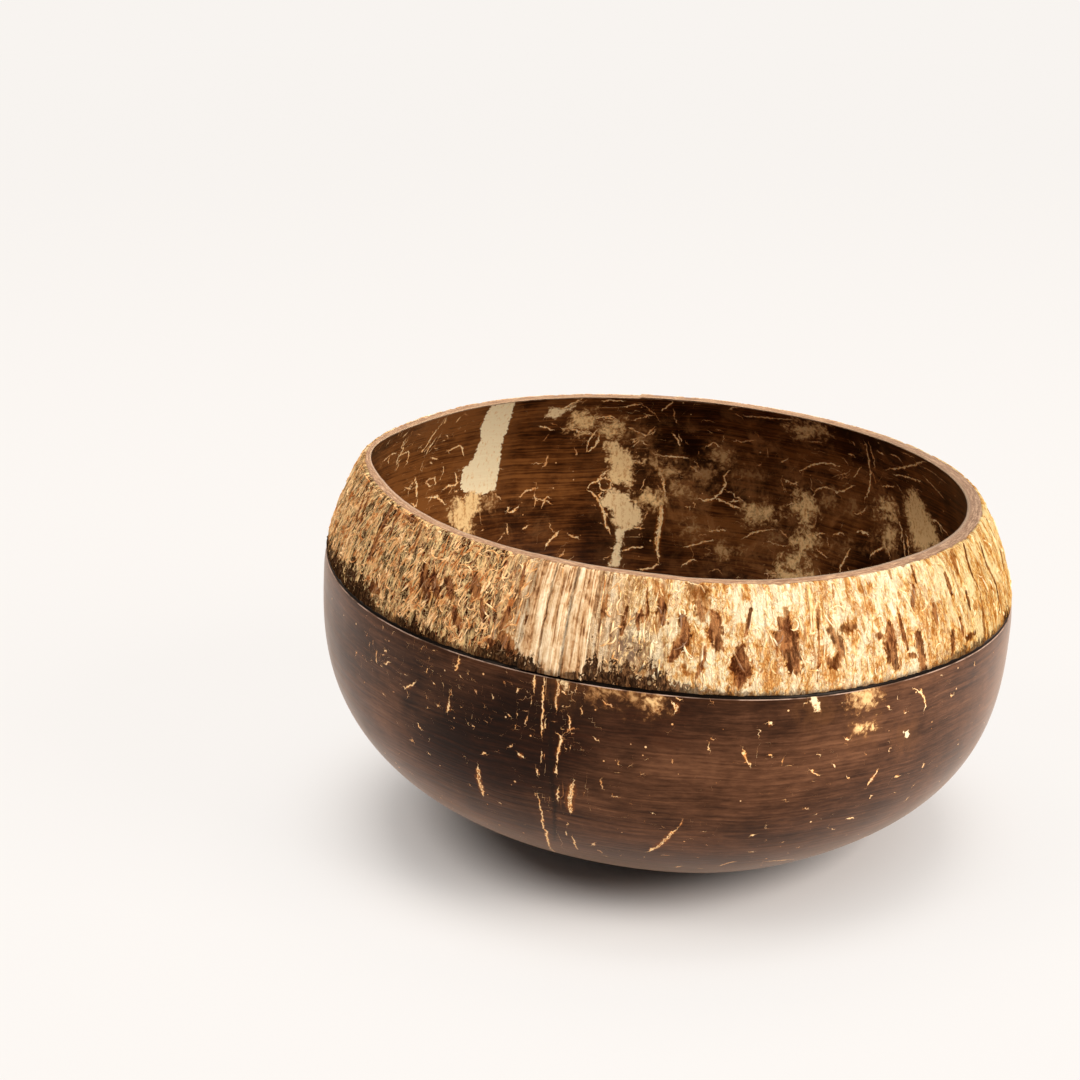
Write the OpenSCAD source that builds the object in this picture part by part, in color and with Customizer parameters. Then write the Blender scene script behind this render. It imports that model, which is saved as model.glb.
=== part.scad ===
// A bowl made from one half of a coconut shell, sawn open and stood on a flat sanded foot.
// The nut is not round: three natural ridges run up its sides, and the bowl leans on its foot.
// A turned groove parts the smooth belly from the band of rough husk left under the rim.
// The origin is the centre of the foot, on the table. +X is the side the bowl leans to.

/* [Body] */
// Width of the body at its widest level, measured between the ridges
body_width = 145; // [120:1:160]
// Depth of the belly, from its widest level to its natural lowest point
belly_depth = 53.9; // [46:0.1:60]
// Fullness of the belly: 2 is an ellipse, and more is squarer
belly_fullness = 2.95; // [2.4:0.05:3.4]
// Height above the widest level at which the shoulder would close to a point
shoulder_height = 57.5; // [48:0.5:70]
// Fullness of the shoulder: 2 is an ellipse, and less is more pointed
shoulder_fullness = 1.7; // [1.5:0.05:2.4]
// Angle that the whole bowl leans to the right on its foot
lean = 3.3; // [0:0.1:5]

/* [Ridges] */
// Direction of the front ridge, in degrees around from +X
front_ridge_turn = -78; // [-110:1:-50]
// How far the front ridge stands out of the round
front_ridge_rise = 2.2; // [0:0.1:3]
// Direction of the back ridge, in degrees around from +X
back_ridge_turn = 124; // [90:1:140]
// How far the back ridge stands out of the round
back_ridge_rise = 1.6; // [0:0.1:3]
// Direction of the left ridge, in degrees around from +X
left_ridge_turn = 165; // [150:1:200]
// How far the left ridge stands out of the round
left_ridge_rise = 1.8; // [0:0.1:3]
// Sharpness of the ridges: more is narrower
ridge_sharpness = 30; // [10:1:60]

/* [Rim and groove] */
// Height of the sawn rim above the widest level
rim_height = 23.3; // [19:0.1:28]
// Height of the husk's lower edge above the widest level
husk_edge_height = 4; // [2:0.1:8]
// Height of the open groove under the husk's edge
groove_gap = 0.6; // [0.4:0.1:1.5]
// How far the smooth belly is turned in from the natural surface
turned_depth = 0.3; // [0.1:0.1:0.4]

/* [Walls] */
// Thickness of the hard shell's wall
shell_wall = 2.4; // [1.8:0.1:4]
// Thickness of the rough husk layer
husk_thickness = 0.7; // [0.6:0.1:1.5]
// Thickness of the shell over the foot
floor_thickness = 3.4; // [2:0.1:6]
// How far the hollow lies to the left of the body's axis
hollow_offset = 0.4; // [0:0.1:0.8]
// Height sanded off the belly's lowest point to make the flat foot
foot_cut = 1.9; // [1.2:0.1:4]

/* [Seam strands] */
// Direction of the seam that the pale strands run along, in degrees around from +X
seam_turn = -111; // [-150:1:-60]
// Angle around the bowl that the strands cover
seam_span = 11; // [8:0.5:16]
// How far the strands stand out of the husk
strand_rise = 0.5; // [0.2:0.1:1]

/* [Hidden] */

body_radius = body_width / 2;
wall = shell_wall + husk_thickness;
hollow_depth = belly_depth - foot_cut - floor_thickness;
ledge_height = husk_edge_height - groove_gap;
// The foot's centre lies further out than the pole swings, because the belly's bottom is nearly flat
foot_offset_share = 1.45;
foot_offset = foot_offset_share * belly_depth * sin(lean);

// Counts of columns around the bowl outside the seam, and of rings up each stretch
plain_columns = 66;
belly_rings = 16;
band_rings = 8;
// Edges of the three strands, as shares of the seam's span, with the middle of each between them
strand_edge_shares = [[0.02, 0.28], [0.32, 0.62], [0.66, 0.98]];
// How thick a strand is at its groove end and its rim end, as shares of its full rise
strand_end_share = 0.45;

// Directions of the columns: fine ones over the seam, then even ones round the rest of the bowl
seam_start = seam_turn - seam_span / 2;
seam_columns = concat(
    [0],
    [for (e = strand_edge_shares) each [e[0], (e[0] + e[1]) / 2, e[1]]],
    [1]
);
columns = concat(
    [for (s = seam_columns) seam_start + s * seam_span],
    [for (i = [1 : plain_columns]) seam_start + seam_span + i * (360 - seam_span) / (plain_columns + 1)]
);
column_count = len(columns);

// The natural outside of the nut: how wide it is at each level and in each direction
function ridge(a, turn, rise) = rise * pow((1 + cos(a - turn)) / 2, ridge_sharpness);
function widest(a) =
    body_radius
    + ridge(a, front_ridge_turn, front_ridge_rise)
    + ridge(a, back_ridge_turn, back_ridge_rise)
    + ridge(a, left_ridge_turn, left_ridge_rise);
function belly(h, depth) = sqrt(1 - pow(-h / depth, belly_fullness));
function shoulder(h) = sqrt(1 - pow(h / shoulder_height, shoulder_fullness));
function natural(a, h) = widest(a) * (h < 0 ? belly(h, belly_depth) : shoulder(h));
function hollow(a, h) = h < 0 ? (widest(a) - wall) * belly(h, hollow_depth) : natural(a, h) - wall;

// Rings of points at one level, on the outside at an inset from the nut's surface, or in the hollow
function outer_ring(h, inset) = [
    for (a = columns)
        let (r = natural(a, h) - inset)
        [r * cos(a), r * sin(a), h]
];
function hollow_ring(h) = [
    for (a = columns)
        let (r = hollow(a, h))
        [r * cos(a) - hollow_offset, r * sin(a), h]
];

// Levels of the rings from the pole to the widest level, as shares of a depth, and up the husk band
function belly_share(i) = -cos(90 * i / belly_rings);
function band_level(i) = husk_edge_height + (rim_height - husk_edge_height) * i / band_rings;

function flat_list(rings) = [for (r = rings) each r];

// Triangles between a stack of rings of n points each, seen from outside when the stack runs up
function wall_faces(n, rings) = [
    for (i = [0 : rings - 2], j = [0 : n - 1])
        let (a = i * n + j, b = i * n + (j + 1) % n)
        each [[a, b + n, b], [a, a + n, b + n]]
];
function flipped(faces) = [for (f = faces) [f[0], f[2], f[1]]];
function fan_faces(tip, n, first) = [for (j = [0 : n - 1]) [tip, first + j, first + (j + 1) % n]];

// Stands a shape made round the nut's own axis on the table, leaning, with the foot's centre at zero
module on_foot() {
    translate([-foot_offset, 0, belly_depth - foot_cut])
        rotate([0, lean, 0])
            children();
}

// The hard shell: turned belly, groove, plain band behind the husk, sawn rim and hollow, in one wall
module shell_wall_body() {
    rings = concat(
        [for (i = [1 : belly_rings]) outer_ring(belly_depth * belly_share(i), turned_depth)],
        [outer_ring(ledge_height / 2, turned_depth)],
        [outer_ring(ledge_height, turned_depth)],
        [outer_ring(ledge_height, husk_thickness)],
        [for (i = [0 : band_rings]) outer_ring(band_level(i), husk_thickness)],
        [for (i = [band_rings : -1 : 0]) hollow_ring(band_level(i))],
        [hollow_ring(ledge_height / 2)],
        [for (i = [belly_rings : -1 : 1]) hollow_ring(hollow_depth * belly_share(i))]
    );
    n = column_count;
    ring_points = n * len(rings);
    points = concat(
        flat_list(rings),
        [[0, 0, -belly_depth], [-hollow_offset, 0, -hollow_depth]]
    );
    faces = concat(
        wall_faces(n, len(rings)),
        fan_faces(ring_points, n, 0),
        flipped(fan_faces(ring_points + 1, n, ring_points - n))
    );
    polyhedron(points = points, faces = faces);
}

module shell() {
    color([0.36, 0.22, 0.13])
        difference() {
            on_foot() shell_wall_body();
            translate([-body_width, -body_width, -belly_depth])
                cube([2 * body_width, 2 * body_width, belly_depth]);
        }
}

// The husk: a thin band of raw fibre on the shell, from the groove to the rim
module husk_band() {
    rings = concat(
        [for (i = [0 : band_rings]) outer_ring(band_level(i), husk_thickness)],
        [for (i = [band_rings : -1 : 0]) outer_ring(band_level(i), 0)],
        [outer_ring(husk_edge_height, husk_thickness)]
    );
    n = column_count;
    last = n * (len(rings) - 1);
    // The last ring lies on the first one, so its faces point back to the first ring's points
    faces = [for (f = wall_faces(n, len(rings))) [for (k = f) k % last]];
    color([0.80, 0.66, 0.44])
        on_foot()
            polyhedron(points = [for (i = [0 : len(rings) - 2]) each rings[i]], faces = flipped(faces));
}

// One flat strand of pale fibre on the husk, thickest half way up, between two directions
module strand(left, right) {
    middle = (left + right) / 2;
    function rise(i) = strand_rise * (strand_end_share + (1 - strand_end_share) * sin(180 * i / band_rings));
    function at(a, i, out) =
        let (r = natural(a, band_level(i)) + out)
        [r * cos(a), r * sin(a), band_level(i)];
    n = 6;
    rings = [
        for (i = [0 : band_rings])
            [
                at(right, i, 0),
                at(middle, i, 0),
                at(left, i, 0),
                at(left, i, rise(i) / 2),
                at(middle, i, rise(i)),
                at(right, i, rise(i) / 2)
            ]
    ];
    bottom = [for (j = [0 : n - 1]) j];
    top = [for (j = [n - 1 : -1 : 0]) n * band_rings + j];
    polyhedron(points = flat_list(rings), faces = concat([bottom, top], wall_faces(n, len(rings))));
}

// The strands that the seam leaves on the husk, side by side from the groove to the rim
module seam_strands() {
    color([0.91, 0.84, 0.68])
        on_foot()
            for (e = strand_edge_shares)
                strand(seam_start + e[0] * seam_span, seam_start + e[1] * seam_span);
}

shell();
husk_band();
seam_strands();
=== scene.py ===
# A bowl made from one half of a coconut shell: its looks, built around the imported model.
# Lengths are in millimetres and are turned into metres where a mesh is made.
# The body frame is the nut's own: its axis is upright there, and it leans on its foot in the world.
import math

import bpy
import numpy as np
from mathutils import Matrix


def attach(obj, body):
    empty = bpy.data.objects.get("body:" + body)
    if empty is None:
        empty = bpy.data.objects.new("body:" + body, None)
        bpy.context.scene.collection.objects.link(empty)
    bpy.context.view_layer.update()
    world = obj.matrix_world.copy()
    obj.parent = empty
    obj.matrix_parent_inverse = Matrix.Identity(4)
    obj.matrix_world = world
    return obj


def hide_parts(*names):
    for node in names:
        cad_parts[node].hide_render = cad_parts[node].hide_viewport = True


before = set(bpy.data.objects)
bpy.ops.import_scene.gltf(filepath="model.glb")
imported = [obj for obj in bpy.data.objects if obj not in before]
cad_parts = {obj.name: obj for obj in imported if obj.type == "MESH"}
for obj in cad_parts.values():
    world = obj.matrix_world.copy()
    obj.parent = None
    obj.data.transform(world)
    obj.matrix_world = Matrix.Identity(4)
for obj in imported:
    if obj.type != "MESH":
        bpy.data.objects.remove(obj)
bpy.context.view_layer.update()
rng = np.random.default_rng(41)

# Sizes of the bowl, the same as in the part's source
BODY_RADIUS = 72.5
BELLY_DEPTH = 53.9
BELLY_FULLNESS = 2.95
SHOULDER_HEIGHT = 57.5
SHOULDER_FULLNESS = 1.7
LEAN = math.radians(3.3)
RIDGES = [(-78, 2.2), (124, 1.6), (165, 1.8)]
RIDGE_SHARPNESS = 30
RIM_HEIGHT = 23.3
HUSK_EDGE_HEIGHT = 4.0
GROOVE_GAP = 0.6
TURNED_DEPTH = 0.3
HUSK_THICKNESS = 0.7
WALL = 3.1
HOLLOW_DEPTH = 48.6
HOLLOW_OFFSET = 0.4
FOOT_CUT = 1.9
FOOT_OFFSET = 1.45 * BELLY_DEPTH * math.sin(LEAN)
LEDGE_HEIGHT = HUSK_EDGE_HEIGHT - GROOVE_GAP
SEAM_TURN = -111
SEAM_SPAN = 11
STRAND_EDGE_SHARES = [(0.02, 0.28), (0.32, 0.62), (0.66, 0.98)]
STRAND_RISE = 0.5

# The swelling at the left end of the band: its direction, its width in radians, the height that it
# starts at, and how far it moves the outside and the hollow's wall out
BULGE_TURN = 174
BULGE_WIDTH = 0.26
BULGE_START = 6
BULGE_OUTSIDE = 0.95
BULGE_INSIDE = 2.0

# The photo's camera, fitted to the outline: where it looks, from how far, and from how high
PHOTO_SIZE = 1080
PHOTO_FOCAL = 2600
SENSOR = 36.0
TARGET = np.array([-31.84, 0, 61.40])
DISTANCE = 550.3
ELEVATION = 0.3257
EYE = TARGET + DISTANCE * np.array([0, -math.cos(ELEVATION), math.sin(ELEVATION)])
VIEW = np.array([0, math.cos(ELEVATION), -math.sin(ELEVATION)])
VIEW_UP = np.array([0, math.sin(ELEVATION), math.cos(ELEVATION)])
VIEW_RIGHT = np.array([1.0, 0, 0])
# Distances from the camera at which its rays are tried: from, to and step
RAY_TRIES = (400, 700, 0.25)
# How far above the rim a ray may still meet the surface
RAY_PAST_RIM = 2

LEANING = np.array([
    [math.cos(LEAN), 0, math.sin(LEAN)],
    [0, 1, 0],
    [-math.sin(LEAN), 0, math.cos(LEAN)],
])
STANDING = np.array([-FOOT_OFFSET, 0, BELLY_DEPTH - FOOT_CUT])


def to_world(points):
    return points @ LEANING.T + STANDING


def to_body(points):
    return (points - STANDING) @ LEANING


# The nut's surface as formulas. Directions are in radians around from +X.
def widest(a):
    rises = [rise * ((1 + np.cos(a - math.radians(turn))) / 2) ** RIDGE_SHARPNESS for turn, rise in RIDGES]
    return BODY_RADIUS + sum(rises)


def below(h, depth):
    return np.sqrt(np.clip(1 - np.clip(-h / depth, 0, 1) ** BELLY_FULLNESS, 0, 1))


def above(h):
    return np.sqrt(np.clip(1 - np.clip(h / SHOULDER_HEIGHT, 0, 1) ** SHOULDER_FULLNESS, 0, 1))


def bulge(a, h):
    """The swelling at the left end of the band, from 0 to 1 at the rim."""
    away = np.angle(np.exp(1j * (a - math.radians(BULGE_TURN))))
    rise = np.clip((h - BULGE_START) / (RIM_HEIGHT - BULGE_START), 0, 1.2)
    return np.exp(-(away / BULGE_WIDTH) ** 2) * rise * rise


def natural(a, h):
    return widest(a) * np.where(h < 0, below(h, BELLY_DEPTH), above(h)) + BULGE_OUTSIDE * bulge(a, h)


def hollow(a, h):
    low = (widest(a) - WALL) * below(h, HOLLOW_DEPTH)
    return np.where(h < 0, low, widest(a) * above(h) - WALL + BULGE_INSIDE * bulge(a, h))


def around(a, radius, height=0.0, centre_x=0.0):
    """Points around an upright axis, in the given directions."""
    return np.stack([radius * np.cos(a) + centre_x, radius * np.sin(a), height + 0 * a], -1)


# Random smooth values from -1 to 1, for points given in cells of the noise
def noise(points, seed):
    cell = np.floor(points).astype(np.int64)
    part = points - cell
    part = part * part * (3 - 2 * part)
    total = np.zeros(len(points))
    for corner in range(8):
        step = np.array([corner & 1, (corner >> 1) & 1, corner >> 2])
        at = cell + step
        # Each corner's value comes from its whole numbers, mixed by large primes
        key = at[:, 0] * 73856093 ^ at[:, 1] * 19349663 ^ at[:, 2] * 83492791 ^ (seed * 2654435761)
        key = (key ^ (key >> 15)) * 1274126177 & 0x7FFFFFFF
        key = (key ^ (key >> 13)) * 461845907 & 0x7FFFFFFF
        value = ((key >> 8) & 0xFFFF) / 32767.5 - 1
        total += value * np.prod(np.where(step, part, 1 - part), axis=1)
    return total


def layered(points, seed, octaves=4, loss=0.55):
    """Noise with finer and weaker noise added to it."""
    total = np.zeros(len(points))
    weight = 1.0
    for octave in range(octaves):
        total += weight * noise(points * 2.03 ** octave + 17.1 * octave, seed + octave)
        weight *= loss
    return total


def smooth_step(value, low, high):
    share = np.clip((value - low) / (high - low), 0, 1)
    return share * share * (3 - 2 * share)


# A direction away from the ridges, in which lengths along the meridian are measured, from the
# lowest point to a little above the rim, and the counts of points below and above the widest level
PLAIN_DIRECTION = 0.9
PAST_RIM = 3
LOW_SAMPLES, HIGH_SAMPLES = 1500, 600


class Side:
    """One face of the nut that marks lie on: the outside, or the hollow.

    Its places are a direction around and a length along the meridian from the lowest point.
    """

    def __init__(self, radius, depth, centre_x, mm_per_pixel):
        self.radius, self.centre_x, self.mm_per_pixel = radius, centre_x, mm_per_pixel
        swing = np.linspace(0, math.pi / 2, LOW_SAMPLES)
        high = np.linspace(0, RIM_HEIGHT + PAST_RIM, HIGH_SAMPLES)
        self.heights = np.concatenate([-depth * np.cos(swing), high[1:]])
        radii = radius(np.full(len(self.heights), PLAIN_DIRECTION), self.heights)
        steps = np.hypot(np.diff(self.heights), np.diff(radii))
        self.lengths = np.concatenate([[0], np.cumsum(steps)])
        self.rim_length = float(np.interp(RIM_HEIGHT, self.heights, self.lengths))

    def height(self, length):
        return np.interp(length, self.lengths, self.heights)

    def length(self, height):
        return np.interp(height, self.heights, self.lengths)

    def at(self, a, length):
        h = self.height(length)
        return around(a, self.radius(a, h), h, self.centre_x)

    def cast(self, pixels):
        """Where the photo's pixels fall on this side, as (direction, length) rows."""
        pixels = np.asarray(pixels, float)
        half = PHOTO_SIZE / 2
        ray = (
            (pixels[:, :1] - half) / PHOTO_FOCAL * VIEW_RIGHT
            + (half - pixels[:, 1:]) / PHOTO_FOCAL * VIEW_UP
            + VIEW
        )
        ray /= np.linalg.norm(ray, axis=1)[:, None]
        reach = np.arange(*RAY_TRIES)
        found = np.zeros((len(pixels), 2))
        for i, way in enumerate(ray):
            path = to_body(EYE + reach[:, None] * way)
            x = path[:, 0] - self.centre_x
            a = np.arctan2(path[:, 1], x)
            gap = np.hypot(x, path[:, 1]) - self.radius(a, path[:, 2])
            # A ray goes in through the outside's near face, and out through the hollow's far face
            below_rim = path[:-1, 2] < RIM_HEIGHT + RAY_PAST_RIM
            if self is outside:
                near = np.flatnonzero((gap[:-1] > 0) & (gap[1:] <= 0) & below_rim)[:1]
            else:
                near = np.flatnonzero((gap[:-1] < 0) & (gap[1:] >= 0) & below_rim)[-1:]
            k = int(near[0]) if len(near) else int(np.argmin(np.abs(gap)))
            share = np.clip(gap[k] / (gap[k] - gap[k + 1] + 1e-12), 0, 1)
            spot = path[k] * (1 - share) + path[k + 1] * share
            found[i] = math.atan2(spot[1], spot[0] - self.centre_x), self.length(spot[2])
        return found


outside = Side(natural, BELLY_DEPTH, centre_x=0.0, mm_per_pixel=0.188)
inside = Side(hollow, HOLLOW_DEPTH, centre_x=-HOLLOW_OFFSET, mm_per_pixel=0.226)


def rounded(places, steps=5):
    """A smooth line through the given places."""
    if len(places) < 3:
        return places
    ends = np.concatenate([[2 * places[0] - places[1]], places, [2 * places[-1] - places[-2]]])
    before, start, end, after = ends[:-3], ends[1:-2], ends[2:-1], ends[3:]
    square, cube = 2 * before - 5 * start + 4 * end - after, 3 * start - before - 3 * end + after
    line = [
        0.5 * (2 * start + (end - before) * t + square * t ** 2 + cube * t ** 3)
        for t in np.arange(steps) / steps
    ]
    return np.concatenate([np.stack(line, 1).reshape(-1, 2), places[-1:]])


# How far past its points a mark is looked for along its side, and how far off its plane
MARK_MARGIN = 4
MARK_DEPTH = 8
PATCH_MARGIN = 8
PATCH_DEPTH = 12
# Lines nearer than this are kept apart, in different layers
NEIGHBOURS_WITHIN = 40
# The thinnest that a line's ends get, as a share, and how far past its end a line fades out
THINNEST = 0.08
END_FADE = 0.45
# What the fields say where there is no mark
FAR = 99.0
NO_LINE = [FAR, 1.0, 0.0]
NO_PATCH = [-12.0, 0.0, 0.0]


class Mark:
    """A bent line with a half width and a strength.

    It is laid flat on the plane that touches its side at the mark's middle, where distances to it
    are measured. A patch is one that isn't bent: its points are an outline, and its half width
    says how soft it is.
    """

    def __init__(self, side, places, half_width, strength, blunt=0.0, bent=True):
        places = np.asarray(places, float)
        if bent:
            places = rounded(places)
        middle = places[len(places) // 2] if len(places) > 2 else places.mean(0)
        a, length = middle
        self.centre = side.at(np.array([a]), np.array([length]))[0]
        east = np.array([-math.sin(a), math.cos(a), 0])
        step = side.at(np.array([a, a]), np.array([length - 1, length + 1]))
        north = (step[1] - step[0]) / np.linalg.norm(step[1] - step[0])
        self.axes = np.stack([east, north, np.cross(east, north)])
        self.points = self.flat(side.at(places[:, 0], places[:, 1]))[:, :2]
        self.half_width, self.strength, self.blunt = half_width, strength, blunt
        self.reach = np.linalg.norm(self.points, axis=1).max() + MARK_MARGIN

    def flat(self, points):
        return (points - self.centre) @ self.axes.T

    def near(self, points, margin, depth):
        """The points close to the mark: their numbers, and their places on its plane."""
        near = np.flatnonzero(((points - self.centre) ** 2).sum(1) < (self.reach + margin) ** 2)
        here = self.flat(points[near])
        close = np.abs(here[:, 2]) < depth
        return near[close], here[close, :2]


def line_fields(marks, points, layers, signed=True):
    """Fields of the nearest line in each layer: how far across it, its half width and its strength.

    The first is in half widths and the second in mm. A signed distance keeps thin lines crisp on
    the mesh. It would leave a false line past their ends, so the strength fades out there.
    """
    fields = [np.tile(NO_LINE, (len(points), 1)) for _ in range(layers)]
    nearest = np.full((layers, len(points)), FAR)
    taken = [[] for _ in range(layers)]
    for mark in marks:
        spots = mark.centre + np.column_stack([mark.points, np.zeros(len(mark.points))]) @ mark.axes
        painted_shadow_and_gold_lines = [
            min((np.linalg.norm(spots[:, None] - t[None], axis=2).min() for t in layer
                 if np.linalg.norm(t[0] - spots[0]) < NEIGHBOURS_WITHIN), default=FAR)
            for layer in taken
        ]
        k = int(np.argmax(painted_shadow_and_gold_lines))
        taken[k].append(spots)
        near, here = mark.near(points, 0, MARK_DEPTH)
        if not len(near):
            continue
        start, end = mark.points[:-1], mark.points[1:]
        way = end - start
        size = np.linalg.norm(way, axis=1)
        offset = here[:, None] - start[None]
        full_along = (offset * way).sum(2) / size ** 2
        along = np.clip(full_along, 0, 1)
        away = offset - along[..., None] * way
        off = np.linalg.norm(away, axis=2)
        pick = off.argmin(1)
        rows = np.arange(len(near))
        beyond = np.abs(full_along - along)[rows, pick] * size[pick]
        far = off[rows, pick]
        cross = way[pick, 0] * offset[rows, pick, 1] - way[pick, 1] * offset[rows, pick, 0]
        done = np.concatenate([[0], np.cumsum(size)])
        share = (done[pick] + along[rows, pick] * size[pick]) / done[-1]
        taper = np.maximum(np.sin(math.pi * np.clip(share, 0, 1)), mark.blunt) ** 0.5
        wide = mark.half_width * np.maximum(taper, THINNEST)
        better = far < nearest[k, near]
        chosen = near[better]
        nearest[k, chosen] = far[better]
        side_sign = np.sign(cross) if signed else 1.0
        fade = np.clip(1 - beyond / END_FADE, 0, 1) if signed else np.ones(len(near))
        fields[k][chosen, 0] = (side_sign * far / wide)[better]
        fields[k][chosen, 1] = wide[better]
        fields[k][chosen, 2] = mark.strength * fade[better]
    return fields


def patch_field(patches, points):
    """How deep in the nearest patch each point lies in mm (below zero outside), its strength and softness."""
    field = np.tile(NO_PATCH, (len(points), 1))
    for patch in patches:
        near, here = patch.near(points, PATCH_MARGIN, PATCH_DEPTH)
        start, end = patch.points, np.roll(patch.points, -1, axis=0)
        way = end - start
        offset = here[:, None] - start[None]
        along = np.clip((offset * way).sum(2) / (way ** 2).sum(1), 0, 1)
        off = np.linalg.norm(offset - along[..., None] * way, axis=2).min(1)
        above_start = start[None, :, 1] > here[:, None, 1]
        above_end = end[None, :, 1] > here[:, None, 1]
        rise = np.where(way[:, 1] == 0, 1e-9, way[:, 1])
        cut = start[None, :, 0] + (here[:, None, 1] - start[None, :, 1]) / rise * way[None, :, 0]
        within = ((above_start != above_end) & (here[:, None, 0] < cut)).sum(1) % 2 == 1
        depth = np.where(within, off, -off)
        better = depth > field[near, 0]
        chosen = near[better]
        field[chosen, 0] = depth[better]
        field[chosen, 1] = patch.strength
        field[chosen, 2] = patch.half_width
    return field


# Marks read off the photo, as points in its pixels. What the photo hides gets random marks
# of the same kind. Patches of pale fibre in the hollow: (strength, softness, outline)
HOLLOW_PATCH_PIXELS = [
    (1.0, 0.0, [(491, 406), (515, 401), (512, 413), (509, 424), (503, 440), (500, 460), (498, 475),
                (496, 489), (485, 494), (478, 493), (468, 494), (461, 490), (461, 480), (463, 470),
                (470, 463), (475, 456), (477, 448), (481, 440), (481, 428), (485, 418)]),
    (0.9, 0.6, [(468, 492), (480, 492), (479, 503), (476, 512), (472, 520), (469, 533), (463, 531),
                (455, 526), (450, 515), (452, 508), (456, 500), (466, 500)]),
    (0.5, 0.9, [(481, 498), (492, 495), (491, 504), (486, 509), (482, 504)]),
    (0.95, 0.4, [(606, 443), (618, 441), (616, 447), (625, 452), (630, 458), (645, 461), (632, 463),
                 (631, 472), (633, 480), (630, 485), (612, 479), (606, 474), (612, 466)]),
    (1.0, 0.3, [(608, 492), (625, 492), (630, 500), (640, 508), (641, 515), (640, 522), (628, 528),
                (620, 530), (613, 525), (614, 517), (611, 510), (600, 503)]),
    (0.95, 0.15, [(615, 528), (625, 526), (622, 540), (620, 558), (618, 566), (608, 566), (613, 552),
                  (616, 540)]),
    (0.9, 0.2, [(546, 416), (553, 407), (563, 409), (575, 406), (566, 412), (553, 419)]),
    (0.7, 0.45, [(905, 497), (915, 490), (921, 500), (925, 510), (930, 520), (938, 535), (940, 545),
                 (925, 551), (915, 548), (910, 530), (905, 515)]),
]
# Soft clouds of fibre in the hollow: (strength, half width, half height, middle)
HOLLOW_CLOUD_PIXELS = [
    (0.85, 13, 9, (584, 421)), (0.75, 10, 8, (613, 430)), (0.5, 8, 6, (656, 463)), (0.4, 11, 9, (680, 490)),
    (0.45, 12, 8, (723, 458)), (0.75, 12, 7, (649, 500)), (0.7, 18, 10, (762, 515)),
    (0.45, 14, 7, (727, 550)), (0.9, 11, 12, (806, 508)), (0.8, 14, 10, (804, 541)),
    (0.9, 14, 8, (792, 562)), (0.9, 16, 6, (796, 577)), (0.7, 17, 7, (808, 430)), (0.8, 8, 10, (886, 510)),
    (0.6, 8, 12, (889, 537)), (0.35, 16, 11, (702, 474)), (0.3, 22, 8, (748, 474)),
    (0.35, 18, 8, (694, 528)), (0.35, 12, 10, (828, 500)), (0.3, 14, 8, (775, 538)),
    (0.3, 12, 9, (852, 508)), (0.5, 9, 6, (668, 472)), (0.3, 14, 8, (840, 545)), (0.3, 14, 8, (640, 437)),
]
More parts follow.
